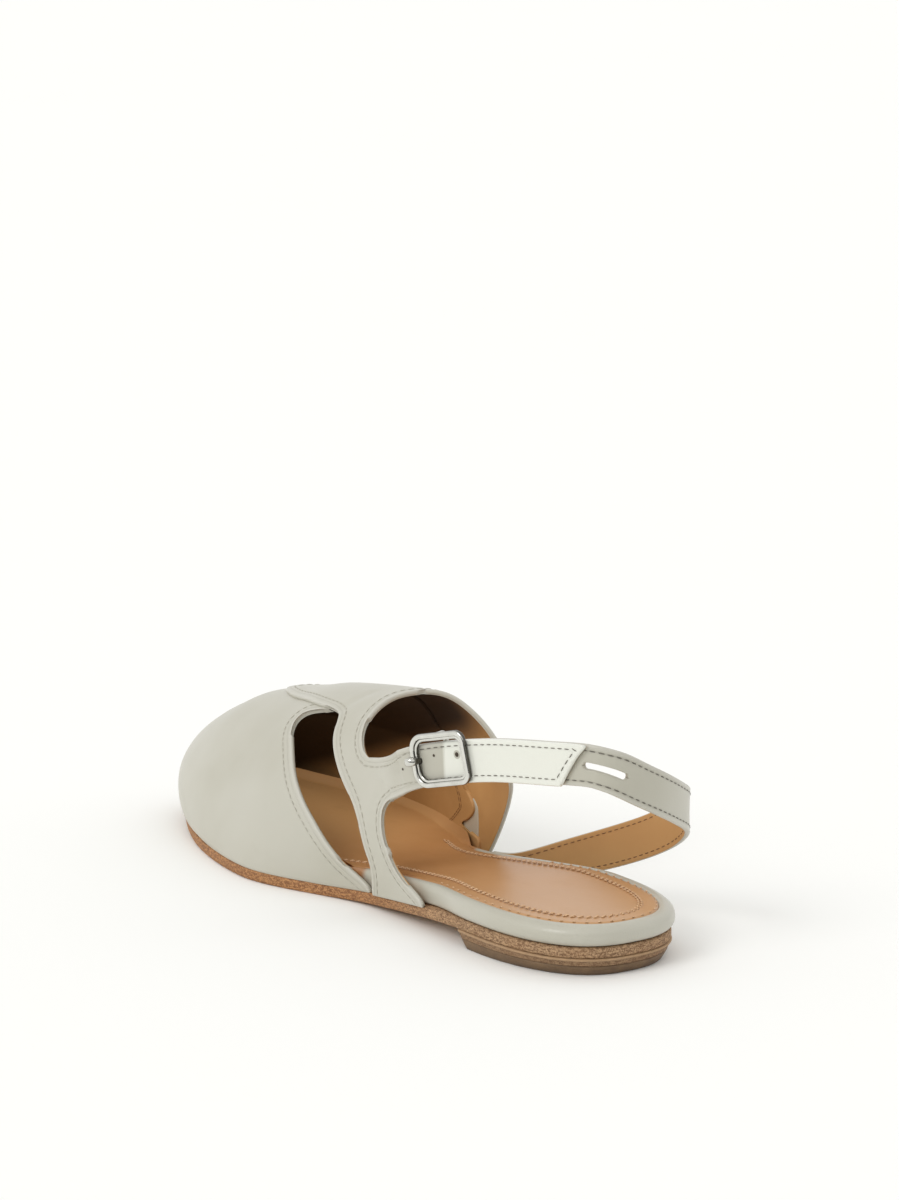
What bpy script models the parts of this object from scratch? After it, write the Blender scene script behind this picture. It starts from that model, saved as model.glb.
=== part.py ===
"""Womens sling back flat, a left shoe, built as separate solids in metres.

X runs towards the inner side of the foot, Y towards the toe, Z up.
The origin is the middle of the heel's flat face on the floor.
"""
import math

import bmesh
import bpy
import numpy as np
from mathutils import Vector

for item in list(bpy.data.objects):
    bpy.data.objects.remove(item)

# Driving sizes of the last and the sole
LENGTH = 0.252
HEEL_CENTRE = 0.026
HEEL_HALF_WIDTH = 0.0293
HEEL_ROUND = 0.0458
WAIST_OUTER = 0.0273
WAIST_INNER = 0.0245
BALL_OUTER = 0.0415
BALL_INNER = 0.0380
TOE_SWING = 0.0010
TOE_SPRING = 0.0060
INSTEP_HEIGHT = 0.0640
CREST_SHIFT = 0.0045
TOE_SWELL = 0.0021

# Layers under the foot
TOP_PIECE_THICK = 0.0033
LIFT_THICK = 0.0020
HEEL_LENGTH = 0.0540
SOLE_THICK = 0.0036
BED_THICK = 0.0066
BED_ROLL = 0.0034
ROLL_SHRINK = 0.80
RAND_SWELL = 0.0013
SOCK_THICK = 0.0010
SOCK_MARGIN = 0.0042
SOLE_EDGE_ROUND = 0.0007

# Leather, straps and metal
WALL = 0.0016
PANEL_WALL = 0.0018
PANEL_STEP = 0.0012
WELT_EDGE = 0.0005
STRAP_WIDTH = 0.0127
STRAP_THICK = 0.0018
STRAP_OVER_INSTEP = 0.0020
TIP_SLANT = 0.0095
SLOT_LENGTH = 0.0150
SLOT_WIDTH = 0.0027
BUCKLE_LENGTH = 0.0236
BUCKLE_HEIGHT = 0.0174
BUCKLE_CORNER = 0.0040
BUCKLE_RISE = 0.0015
FRAME_WIRE = 0.0011
BAR_WIRE = 0.0009
PRONG_WIRE = 0.0007
PRONG_HOLE = 0.0013
GAP = 0.0003

# Shapes of the outline: exponents, and places as shares of the length
HEEL_CURVE = 2.5
TOE_CURVE = 1.6
DOME_CURVE = 2.5
WAIST_ALONG = 0.42
BALL_OUTER_ALONG = 0.64
BALL_INNER_ALONG = 0.70
ARCH_START = 0.19
ARCH_END = 0.52
SPRING_START = 0.774
DOME_START = 0.86
SWELL_START = 0.70
SWELL_END = 0.95
SWELL_CURVE = 0.30

FEATHER = WALL + WELT_EDGE
STRAP_RISE = INSTEP_HEIGHT + STRAP_OVER_INSTEP
HEEL_HEIGHT = TOP_PIECE_THICK + LIFT_THICK + 2 * GAP

# Height of the last's crest: (along the length, share of the instep height)
CREST_HEIGHT = [
    (0.25, 1.000),
    (0.40, 1.000),
    (0.46, 0.990),
    (0.53, 0.962),
    (0.59, 0.933),
    (0.65, 0.897),
    (0.70, 0.850),
    (0.75, 0.812),
    (0.80, 0.776),
    (0.85, 0.693),
    (0.90, 0.605),
    (0.95, 0.540),
    (1.00, 0.480),
]

# Cross-sections: (along the length, superellipse exponent, outer bulge, inner bulge)
SECTIONS = [
    (0.25, 2.40, 0.10, 0.08),
    (0.45, 2.40, 0.10, 0.08),
    (0.53, 2.15, 0.03, 0.05),
    (0.60, 1.95, 0.01, 0.03),
    (0.68, 1.88, 0.01, 0.01),
    (0.78, 2.10, 0.05, 0.02),
    (0.88, 2.40, 0.10, 0.06),
    (1.00, 2.60, 0.14, 0.10),
]

# How far the hidden footbed stays off the upper: (along the length, share of the wall)
BED_DRAFT = [
    (0.00, 0.00),
    (0.45, 0.00),
    (0.60, 0.45),
    (0.75, 0.60),
    (0.90, 1.20),
    (1.00, 2.20),
]

# Sideways place of the crest: (along the length, share of the crest shift)
CREST_SIDE = [
    (0.25, 1.10),
    (0.50, 1.00),
    (0.65, 0.65),
    (0.80, 0.25),
    (1.00, 0.22),
]

# Free edges on the last: (turn from the outer feather over the crest to the inner, along)
VAMP_REAR = [
    (0.000, 0.420),
    (0.009, 0.429),
    (0.050, 0.477),
    (0.119, 0.529),
    (0.189, 0.575),
    (0.252, 0.609),
    (0.311, 0.641),
    (0.345, 0.648),
    (0.362, 0.630),
    (0.369, 0.594),
    (0.376, 0.552),
    (0.500, 0.545),
    (0.700, 0.545),
    (0.800, 0.532),
    (0.856, 0.512),
    (0.903, 0.482),
    (0.950, 0.506),
    (1.000, 0.528),
]
PANEL_FRONT = [
    (0.000, 0.414),
    (0.030, 0.406),
    (0.050, 0.407),
    (0.079, 0.418),
    (0.135, 0.437),
    (0.170, 0.455),
    (0.201, 0.480),
    (0.242, 0.510),
    (0.267, 0.525),
    (0.292, 0.536),
    (0.330, 0.547),
    (0.363, 0.559),
    (0.376, 0.610),
    (0.392, 0.663),
    (0.426, 0.725),
    (0.480, 0.766),
    (0.530, 0.762),
    (0.600, 0.722),
    (0.700, 0.635),
    (0.800, 0.552),
    (0.870, 0.500),
    (0.903, 0.476),
    (0.950, 0.474),
    (1.000, 0.480),
]
PANEL_REAR = [
    (0.000, 0.285),
    (0.034, 0.327),
    (0.053, 0.347),
    (0.083, 0.364),
    (0.121, 0.379),
    (0.155, 0.385),
    (0.188, 0.379),
    (0.215, 0.402),
    (0.240, 0.432),
    (0.2525, 0.446),
    (0.262, 0.458),
    (0.279, 0.470),
    (0.300, 0.481),
    (0.341, 0.493),
    (0.387, 0.498),
    (0.420, 0.499),
    (0.450, 0.497),
    (0.490, 0.488),
    (0.558, 0.466),
    (0.634, 0.444),
    (0.700, 0.421),
    (0.760, 0.404),
    (0.800, 0.397),
    (0.837, 0.395),
    (0.870, 0.402),
    (0.903, 0.413),
    (0.938, 0.427),
    (0.978, 0.447),
    (1.000, 0.458),
]
BRANCH_TURNS = (0.188, 0.2525)

# Course of the sling strap's middle, from the buckle round the heel to the inner arch:
# (across in heel half widths, along the length, height in strap rises, width in strap widths)
STRAP_COURSE = [
    (-0.935, 0.372, 0.700, 1.05),
    (-0.895, 0.318, 0.798, 1.00),
    (-0.795, 0.269, 0.852, 1.02),
    (-0.705, 0.223, 0.893, 1.00),
    (-0.625, 0.168, 0.932, 1.00),
    (-0.540, 0.083, 0.977, 1.00),
    (-0.450, 0.036, 0.998, 1.00),
    (-0.330, 0.016, 0.985, 1.00),
    (-0.170, 0.008, 0.955, 1.00),
    (0.100, 0.008, 0.890, 1.00),
    (0.450, 0.017, 0.812, 1.00),
    (0.805, 0.037, 0.730, 1.00),
    (1.115, 0.066, 0.652, 1.00),
    (1.290, 0.113, 0.545, 1.00),
    (1.285, 0.160, 0.445, 1.00),
    (1.230, 0.215, 0.352, 1.00),
    (1.160, 0.262, 0.280, 0.97),
    (1.075, 0.305, 0.223, 0.86),
    (0.960, 0.341, 0.183, 0.66),
    (0.825, 0.372, 0.155, 0.46),
    (0.790, 0.398, 0.142, 0.36),
    (0.790, 0.424, 0.134, 0.30),
]
BUCKLE_PLACE = 0.0292
TIP_PLACE = 0.0895
BRANCH_LENGTH = 0.0105
SLOT_PLACE = 0.0955
PRONG_HOLE_PLACE = 0.0083


def ease(low, high, value):
    """A smooth step from 0 at low to 1 at high."""
    t = np.clip((value - low) / (high - low), 0.0, 1.0)
    return t * t * (3.0 - 2.0 * t)


def through(rows, value, column=1):
    """A curve without overshoot through a table's first column and another one."""
    x = np.array([row[0] for row in rows])
    y = np.array([row[column] for row in rows])
    step = np.diff(x)
    rise = np.diff(y) / step
    slope = np.zeros(len(x))
    slope[0] = rise[0]
    slope[-1] = rise[-1]
    for i in range(1, len(x) - 1):
        if rise[i - 1] * rise[i] > 0:
            left = 2 * step[i] + step[i - 1]
            right = step[i] + 2 * step[i - 1]
            slope[i] = (left + right) / (left / rise[i - 1] + right / rise[i])
    value = min(max(value, x[0]), x[-1])
    i = min(max(int(np.searchsorted(x, value)) - 1, 0), len(x) - 2)
    t = (value - x[i]) / step[i]
    start = y[i] * (1 + 2 * t) * (1 - t) ** 2 + slope[i] * step[i] * t * (1 - t) ** 2
    end = y[i + 1] * t * t * (3 - 2 * t) + slope[i + 1] * step[i] * t * t * (t - 1)
    return start + end


def place(along, inset=0.0):
    """The y of a share of the length of an outline that is drawn in by inset."""
    return inset + along * (LENGTH - 2 * inset) - HEEL_CENTRE


def outline(side, along, inset=0.0):
    """The x of the sole's edge; side is -1 on the outer and 1 on the inner side."""
    waist, ball, ball_along = WAIST_OUTER, BALL_OUTER, BALL_OUTER_ALONG
    if side > 0:
        waist, ball, ball_along = WAIST_INNER, BALL_INNER, BALL_INNER_ALONG
    heel_along = HEEL_ROUND / LENGTH
    if along < heel_along:
        back = 1 - along / heel_along
        width = (HEEL_HALF_WIDTH - inset) * (1 - back**HEEL_CURVE) ** (1 / HEEL_CURVE)
    elif along > ball_along:
        ahead = (along - ball_along) / (1 - ball_along)
        round_toe = max(1 - ahead**TOE_CURVE, 0.0) ** (1 / TOE_CURVE)
        width = (ball - inset - side * TOE_SWING) * round_toe + side * TOE_SWING
    else:
        rows = [
            (heel_along - 0.02, HEEL_HALF_WIDTH),
            (heel_along, HEEL_HALF_WIDTH),
            (WAIST_ALONG, waist),
            (ball_along, ball),
            (ball_along + 0.02, ball),
        ]
        width = through(rows, along) - inset
    return side * width


def sole_bottom(along):
    """Height of the outsole's underside: heel, arch, flat ball and toe spring."""
    arch = HEEL_HEIGHT * (1 - ease(ARCH_START, ARCH_END, along))
    ahead = max(along - SPRING_START, 0.0) / (1 - SPRING_START)
    return arch + TOE_SPRING * ahead**2


def sole_top(along):
    return sole_bottom(along) + SOLE_THICK


def last_point(turn, along, out):
    """A point on the last, grown by out; turn goes from the outer feather to the inner."""
    base = sole_top(along) + GAP
    ahead = max(along - DOME_START, 0.0) / (1 - DOME_START)
    dome = max(1 - ahead**DOME_CURVE, 0.0) ** (1 / DOME_CURVE)
    rise = max(math.sin(math.pi * turn), 0.0)
    swell = TOE_SWELL * ease(SWELL_START, SWELL_END, along)
    inset = FEATHER - out - swell * math.sin(math.pi * (rise * dome) ** SWELL_CURVE)
    height = (through(CREST_HEIGHT, along) * INSTEP_HEIGHT - base) * dome
    height *= 1 + out / max(height, 4 * WALL)
    crest = CREST_SHIFT * through(CREST_SIDE, along)
    side = -1 if turn < 0.5 else 1
    curve = through(SECTIONS, along, 1)
    bulge = through(SECTIONS, along, 2 if side < 0 else 3)
    reach = max(1 - rise**curve, 0.0) ** (1 / curve) * (1 + bulge * math.sin(math.pi * rise))
    edge = outline(side, along, inset)
    x = crest + (edge - crest) * reach
    return Vector((x, place(along, inset), base + height * rise))


def turns(count, *tables):
    """Even turns over the last, with every row of the edge tables among them."""
    values = {row[0] for table in tables for row in table}
    for turn in np.linspace(0, 1, count):
        if min(abs(turn - value) for value in values) > 0.3 / count:
            values.add(float(turn))
    return sorted(values)


def make_material(name, colour, roughness, metallic=0.0):
    material = bpy.data.materials.new(name)
    material.use_nodes = True
    shader = material.node_tree.nodes["Principled BSDF"]
    shader.inputs["Base Color"].default_value = (*colour, 1.0)
    shader.inputs["Roughness"].default_value = roughness
    shader.inputs["Metallic"].default_value = metallic
    material.diffuse_color = (*colour, 1.0)
    return material


def make_object(name, points, faces, material):
    mesh = bpy.data.meshes.new(name)
    mesh.from_pydata([tuple(point) for point in points], [], faces)
    mesh.validate()
    piece = bpy.data.objects.new(name, mesh)
    bpy.context.scene.collection.objects.link(piece)
    piece.data.materials.append(material)
    form = bmesh.new()
    form.from_mesh(mesh)
    bmesh.ops.recalc_face_normals(form, faces=form.faces)
    form.to_mesh(mesh)
    form.free()
    mesh.shade_smooth()
    mesh.set_sharp_from_angle(angle=math.radians(35))
    return piece


def make_guide(piece):
    """Keep a piece as a tool for Booleans only."""
    piece.hide_render = True
    piece.display_type = "WIRE"
    return piece


def combine(piece, tool, operation):
    change = piece.modifiers.new(tool.name, "BOOLEAN")
    change.object = tool
    change.operation = operation
    change.solver = "EXACT"


def thicken(outer, inner, faces):
    """Close two matching sheets into a wall with a rim along their free edges."""
    count = len(outer)
    edges = {(face[i - 1], face[i]) for face in faces for i in range(len(face))}
    rim = [(b, a, a + count, b + count) for a, b in edges if (b, a) not in edges]
    back = [tuple(i + count for i in reversed(face)) for face in faces]
    return outer + inner, faces + back + rim


def layer(name, rings, along_end, material, count=44):
    """A flat layer with the sole's outline, from rings of (inset, height) functions."""
    steps = np.linspace(0, 1, count)
    shares = along_end * (1 - np.cos(math.pi * steps)) / 2
    if along_end < 1:
        shares = along_end * (1 - np.cos(math.pi * steps / 2))
    points = []
    loops = []
    pointed = along_end == 1
    for inset, height in rings:
        loop = []
        for side in (-1, 1):
            row = shares if side < 0 else shares[::-1]
            for i, along in enumerate(row):
                tip = (along == 0 or (pointed and along == 1)) and side > 0
                if tip:
                    continue
                draw = inset(along)
                loop.append(len(points))
                points.append(Vector((outline(side, along, draw), place(along, draw), height(along))))
        loops.append(loop)
    faces = []
    for low, high in zip(loops, loops[1:]):
        for i in range(len(low)):
            faces.append((low[i - 1], low[i], high[i], high[i - 1]))
    for loop in (loops[0], loops[-1]):
        far = loop[1:count] if not pointed else loop[1 : count - 1]
        near = loop[:0:-1][: len(far)]
        ends = [(loop[0], far[0], near[0])]
        if pointed:
            ends.append((far[-1], loop[count - 1], near[-1]))
        rungs = [(far[i], far[i + 1], near[i + 1], near[i]) for i in range(len(far) - 1)]
        faces.extend(ends + rungs)
    return make_object(name, points, faces, material)


def tube(name, course, radius, material, closed=False, sides=8):
    """A round wire along a list of points, with flat ends unless it is closed."""
    points = []
    last = len(course) - 1
    normal = None
    for i, middle in enumerate(course):
        before = course[i - 1] if closed or i > 0 else middle
        after = course[(i + 1) % len(course)] if closed or i < last else middle
        ahead = (after - before).normalized()
        if normal is None:
            normal = ahead.orthogonal().normalized()
        normal = (normal - ahead * normal.dot(ahead)).normalized()
        other = ahead.cross(normal)
        for k in range(sides):
            angle = 2 * math.pi * k / sides
            points.append(middle + radius * (math.cos(angle) * normal + math.sin(angle) * other))
    faces = []
    for i in range(len(course) if closed else last):
        j = (i + 1) % len(course)
        for k in range(sides):
            m = (k + 1) % sides
            faces.append((i * sides + k, i * sides + m, j * sides + m, j * sides + k))
    if not closed:
        faces.append(tuple(range(sides)))
        faces.append(tuple(last * sides + k for k in reversed(range(sides))))
    return make_object(name, points, faces, material)


# Materials of the solids
pearl = make_material("pearl leather", (0.60, 0.58, 0.51), 0.30)
tan = make_material("tan lining", (0.46, 0.23, 0.10), 0.55)
brown = make_material("brown sole leather", (0.34, 0.19, 0.09), 0.80)
dark = make_material("heel rubber", (0.22, 0.14, 0.08), 0.60)
steel = make_material("polished steel", (0.80, 0.80, 0.80), 0.12, 1.0)


# Sole layers, from the floor up
heel_share = HEEL_LENGTH / LENGTH
layer(
    "top_piece",
    [
        (lambda a: SOLE_EDGE_ROUND * 2, lambda a: 0.0),
        (lambda a: SOLE_EDGE_ROUND, lambda a: SOLE_EDGE_ROUND),
        (lambda a: SOLE_EDGE_ROUND / 2, lambda a: TOP_PIECE_THICK),
    ],
    heel_share,
    dark,
    count=18,
)
layer(
    "heel_lift",
    [
        (lambda a: SOLE_EDGE_ROUND / 2, lambda a: TOP_PIECE_THICK + GAP),
        (lambda a: 0.0, lambda a: TOP_PIECE_THICK + GAP + LIFT_THICK),
    ],
    heel_share,
    brown,
    count=18,
)
layer(
    "outsole",
    [
        (lambda a: SOLE_EDGE_ROUND, sole_bottom),
        (lambda a: 0.0, lambda a: sole_bottom(a) + SOLE_EDGE_ROUND),
        (lambda a: 0.0, lambda a: sole_top(a) - SOLE_EDGE_ROUND),
        (lambda a: SOLE_EDGE_ROUND / 2, sole_top),
    ],
    1,
    brown,
)


def bed_edge(along):
    """Inset of the wrapped footbed: flush at the heel, inside the upper in front."""
    covered = ease(0.19, 0.285, along)
    return GAP + covered * (FEATHER + GAP) + through(BED_DRAFT, along) * WALL


def bed_roll(along):
    """Breadth of the rolled edge, full round the heel and narrow inside the upper."""
    return BED_ROLL * (1 - ROLL_SHRINK * ease(0.42, 0.54, along))


def bed_ring(share_in, share_up, swell):
    def inset(along):
        open_heel = 1 - ease(0.19, 0.285, along)
        return bed_edge(along) + share_in * bed_roll(along) - swell * RAND_SWELL * open_heel

    return inset, lambda a: sole_top(a) + GAP + share_up * BED_THICK


layer(
    "footbed",
    [
        bed_ring(0.12, 0.00, 0.0),
        bed_ring(0.00, 0.12, 0.5),
        bed_ring(0.00, 0.40, 1.0),
        bed_ring(0.00, 0.66, 0.9),
        bed_ring(0.12, 0.86, 0.6),
        bed_ring(0.38, 0.98, 0.3),
        bed_ring(0.72, 1.00, 0.0),
        bed_ring(0.96, 0.94, 0.0),
        bed_ring(1.00, 0.80, 0.0),
    ],
    1,
    pearl,
    count=40,
)


def sock_edge(along):
    return bed_edge(along) + bed_roll(along) + GAP + 0.15 * BED_ROLL * ease(0.80, 1.0, along)


def sock_floor(along):
    return sole_top(along) + 0.80 * BED_THICK + 2 * GAP


layer(
    "sock",
    [
        (sock_edge, sock_floor),
        (sock_edge, lambda a: sock_floor(a) + SOCK_THICK),
    ],
    1,
    tan,
    count=40,
)


# Course of the strap
def spline(rows, samples=10):
    """A smooth line through rows of numbers."""
    rows = [np.array(row, dtype=float) for row in rows]
    rows = [2 * rows[0] - rows[1]] + rows + [2 * rows[-1] - rows[-2]]
    line = []
    for a, b, c, d in zip(rows, rows[1:], rows[2:], rows[3:]):
        for t in np.arange(samples) / samples:
            bend = -a + 3 * b - 3 * c + d
            line.append(b + 0.5 * t * ((c - a) + t * ((2 * a - 5 * b + 4 * c - d) + t * bend)))
    return line + [rows[-2]]


course = []
for across, along, height, width in spline(STRAP_COURSE):
    middle = Vector((across * HEEL_HALF_WIDTH, place(along), height * STRAP_RISE))
    course.append((middle, width * STRAP_WIDTH))
distance = [0.0]
for (a, _), (b, _) in zip(course, course[1:]):
    distance.append(distance[-1] + (b - a).length)
strap_end = distance[-1]


def strap_frame(run):
    """Middle, run direction, upward and outward directions and width at a distance."""
    numbers = [(*middle, width) for middle, width in course]
    x, y, z, width = (np.interp(run, distance, [row[i] for row in numbers]) for i in range(4))
    step = STRAP_THICK
    ends = []
    for near in (run - step, run + step):
        near = min(max(near, 0.0), strap_end)
        ends.append(Vector([np.interp(near, distance, [row[i] for row in numbers]) for i in range(3)]))
    ahead = (ends[1] - ends[0]).normalized()
    up = (Vector((0, 0, 1)) - ahead * ahead.z).normalized()
    return Vector((x, y, z)), ahead, up, ahead.cross(up), width


def ribbon_point(run, height, out):
    """A point on the strap: height is a share of its width from the middle."""
    middle, ahead, up, outward, width = strap_frame(run)
    return middle + up * (height * width) + outward * out


def ribbon(name, start, end, material, count):
    """A strap of one thickness between two distances along the course."""
    points = []
    for run in np.linspace(start, end, count):
        for height, out in ((-0.5, -0.5), (0.5, -0.5), (0.5, 0.5), (-0.5, 0.5)):
            points.append(ribbon_point(run, height, out * STRAP_THICK))
    faces = [(0, 1, 2, 3), tuple(4 * (count - 1) + k for k in (3, 2, 1, 0))]
    for i in range(count - 1):
        for k in range(4):
            m = (k + 1) % 4
            faces.append((4 * i + k, 4 * i + m, 4 * i + 4 + m, 4 * i + 4 + k))
    return make_object(name, points, faces, material)


lift = STRAP_THICK + GAP
sling_start = BUCKLE_PLACE + BAR_WIRE + GAP
sling = ribbon("sling_strap", sling_start, strap_end, pearl, 96)

middle, ahead, up, outward, width = strap_frame(SLOT_PLACE)
slot_points = []
for end in (-1, 1):
    for k in range(7):
        angle = math.pi * (k / 6 - 0.5)
        flat = end * (SLOT_LENGTH - SLOT_WIDTH) / 2 + end * SLOT_WIDTH / 2 * math.cos(angle)
        rise = end * SLOT_WIDTH / 2 * math.sin(angle)
        slot_points.append((flat, rise))
corners = []
for depth in (-4, 4):
    for flat, rise in slot_points:
        corners.append(middle + ahead * flat + up * rise + outward * depth * STRAP_THICK)
ring = len(slot_points)
sides = [(k, (k + 1) % ring, ring + (k + 1) % ring, ring + k) for k in range(ring)]
ends = [tuple(range(ring)), tuple(ring + k for k in reversed(range(ring)))]
slot = make_guide(make_object("slot_cutter", corners, sides + ends, pearl))
combine(sling, slot, "DIFFERENCE")


# Upper: vamp and instep panel, joined where they lap
def grid_faces(rows, columns, start=0):
    faces = []
    for j in range(rows - 1):
        for i in range(columns - 1):
            corner = start + j * columns + i
            faces.append((corner, corner + 1, corner + columns + 1, corner + columns))
    return faces


def vamp_wall(columns=17, rows=31):
    lines = turns(rows, VAMP_REAR)
    outer, inner = [], []
    for sheet, out in ((outer, WALL), (inner, 0.0)):
        for turn in lines:
            reach = math.sqrt(1 - through(VAMP_REAR, turn))
            for i in range(1, columns):
                along = 1 - (reach * i / (columns - 1)) ** 2
                sheet.append(last_point(turn, along, out))
        sheet.append(last_point(0.0, 1.0, out))
    faces = grid_faces(len(lines), columns - 1)
    tip = len(outer) - 1
    for j in range(len(lines) - 1):
        faces.append((tip, j * (columns - 1), (j + 1) * (columns - 1)))
    return thicken(outer, inner, faces)


def panel_wall(columns=8, rows=29, branch_columns=34):
    lines = turns(rows, PANEL_FRONT, PANEL_REAR)
    branch = [j for j, turn in enumerate(lines) if BRANCH_TURNS[0] <= turn <= BRANCH_TURNS[1]]
    outer, inner = [], []
    for sheet, out in ((outer, PANEL_STEP + WALL), (inner, PANEL_STEP + WALL - PANEL_WALL)):
        for turn in lines:
            front = through(PANEL_FRONT, turn)
            rear = through(PANEL_REAR, turn)
            for i in range(columns):
                sheet.append(last_point(turn, front + (rear - front) * i / (columns - 1), out))
        skin = PANEL_WALL / 2 if out == PANEL_STEP + WALL else -PANEL_WALL / 2
        for j in branch:
            height = (lines[j] - lines[branch[0]]) / (lines[branch[-1]] - lines[branch[0]]) - 0.5
            root = sheet[j * columns + columns - 1]
            pull = root - sheet[j * columns + columns - 2]
            end = TIP_PLACE - TIP_SLANT * (0.5 - height)
            first = ribbon_point(BRANCH_LENGTH, height, lift + skin)
            course_pull = ribbon_point(BRANCH_LENGTH * 1.2, height, lift + skin) - first
            reach = (first - root).length
            leave = pull.normalized() * reach
            arrive = course_pull.normalized() * reach
            for i in range(1, branch_columns):
                t = i / 5
                if t < 1:
                    point = root * ((1 + 2 * t) * (1 - t) ** 2) + leave * (t * (1 - t) ** 2)
                    point = point + first * (t * t * (3 - 2 * t)) + arrive * (t * t * (t - 1))
                else:
                    run = BRANCH_LENGTH + (end - BRANCH_LENGTH) * (i - 5) / (branch_columns - 6)
                    point = ribbon_point(run, height, lift + skin)
                sheet.append(point)
    faces = grid_faces(len(lines), columns)
    start = len(lines) * columns
    wide = branch_columns - 1
    faces.extend(grid_faces(len(branch), wide, start))
    for n in range(len(branch) - 1):
        low = branch[n] * columns + columns - 1
        high = branch[n + 1] * columns + columns - 1
        faces.append((low, start + n * wide, start + (n + 1) * wide, high))
    return thicken(outer, inner, faces)


upper = make_object("upper", *vamp_wall(), pearl)
panel = make_guide(make_object("instep_panel", *panel_wall(), pearl))
combine(upper, panel, "UNION")


# Buckle: a rounded frame over the billet, with its bar under it
seat, ahead, up, outward, width = strap_frame(BUCKLE_PLACE)
billet = seat + outward * lift
over = STRAP_THICK / 2 + GAP + FRAME_WIRE


def on_buckle(flat, rise, out):
    return billet + ahead * flat + up * rise + outward * out


half_length = BUCKLE_LENGTH / 2 - FRAME_WIRE
half_height = BUCKLE_HEIGHT / 2 - FRAME_WIRE
frame_line = []
for quarter in range(4):
    flip_x = 1 if quarter in (0, 3) else -1
    flip_y = 1 if quarter in (0, 1) else -1
    for k in range(6):
        angle = math.pi / 2 * (quarter + k / 5)
        flat = flip_x * (half_length - BUCKLE_CORNER) + BUCKLE_CORNER * math.cos(angle)
        rise = flip_y * (half_height - BUCKLE_CORNER) + BUCKLE_CORNER * math.sin(angle)
        frame_line.append(on_buckle(flat, rise + BUCKLE_RISE, over))
buckle = tube("buckle", frame_line, FRAME_WIRE, steel, closed=True)
bar_drop = -(STRAP_THICK / 2 + GAP + BAR_WIRE)
bar_foot = -(width / 2 + GAP + BAR_WIRE)
bar_head = half_height + BUCKLE_RISE
bar_line = [
    on_buckle(0, bar_foot, over),
    on_buckle(0, bar_foot, bar_drop + BAR_WIRE),
    on_buckle(0, bar_foot + BAR_WIRE, bar_drop),
    on_buckle(0, bar_head - BAR_WIRE, bar_drop),
    on_buckle(0, bar_head, bar_drop + BAR_WIRE),
    on_buckle(0, bar_head, over),
]
bar = make_guide(tube("centre_bar", bar_line, BAR_WIRE, steel))
combine(buckle, bar, "UNION")

hole_line = [on_buckle(-PRONG_HOLE_PLACE, 0, -2 * lift), on_buckle(-PRONG_HOLE_PLACE, 0, 2 * lift)]
prong_hole = make_guide(tube("prong_hole_cutter", hole_line, PRONG_HOLE, steel, sides=12))
combine(upper, prong_hole, "DIFFERENCE")

hook = over + FRAME_WIRE + GAP + PRONG_WIRE
prong_rows = [
    (-(BAR_WIRE + GAP + PRONG_WIRE), bar_drop),
    (-0.6 * PRONG_HOLE_PLACE, bar_drop),
    (-0.9 * PRONG_HOLE_PLACE, 0.75 * bar_drop),
    (-PRONG_HOLE_PLACE, 0.0),
    (-PRONG_HOLE_PLACE, over),
    (-PRONG_HOLE_PLACE - FRAME_WIRE, hook),
    (-half_length - FRAME_WIRE, hook),
    (-half_length - 2 * FRAME_WIRE, over),
]
prong_line = [on_buckle(flat, 0, out) for flat, out in spline(prong_rows, 4)]
tube("prong", prong_line, PRONG_WIRE, steel)
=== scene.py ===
"""Looks of a womens sling back flat, a left shoe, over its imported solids."""
import math

import bmesh
import bpy
import numpy as np
from mathutils import Matrix, Vector
from mathutils.kdtree import KDTree


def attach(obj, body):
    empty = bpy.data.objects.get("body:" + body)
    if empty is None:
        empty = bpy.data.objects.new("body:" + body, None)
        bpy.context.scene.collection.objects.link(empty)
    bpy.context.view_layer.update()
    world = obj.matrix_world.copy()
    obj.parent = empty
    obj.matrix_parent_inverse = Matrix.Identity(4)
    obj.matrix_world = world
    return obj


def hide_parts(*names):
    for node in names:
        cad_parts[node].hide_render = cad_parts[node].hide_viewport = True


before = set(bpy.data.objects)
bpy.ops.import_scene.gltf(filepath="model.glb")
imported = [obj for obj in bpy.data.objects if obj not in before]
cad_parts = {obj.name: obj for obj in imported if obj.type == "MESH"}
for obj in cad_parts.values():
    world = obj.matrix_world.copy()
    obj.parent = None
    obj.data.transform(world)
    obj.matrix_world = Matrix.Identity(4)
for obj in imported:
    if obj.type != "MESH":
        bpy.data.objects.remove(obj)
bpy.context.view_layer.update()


# The outsole: one thin layer of sole leather with an arch and a little toe spring.
# It is cut to the outline of the foot, and its edge is trimmed, stained and left fibrous.
LENGTH = 0.252
HEEL_CENTRE = 0.026
HEEL_HALF_WIDTH = 0.0293
HEEL_ROUND = 0.0458
TOE_SWING = 0.0010
TOE_SPRING = 0.0060
SOLE_THICK = 0.0036
HEEL_HEIGHT = 0.0059
LEAN_TOP = 0.0060
GAP = 0.0003
WAISTS = {-1: 0.0273, 1: 0.0245}
BALLS = {-1: (0.0415, 0.64), 1: (0.0380, 0.70)}


def ease(low, high, value):
    t = np.clip((np.asarray(value, float) - low) / (high - low), 0.0, 1.0)
    return t * t * (3.0 - 2.0 * t)


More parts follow.
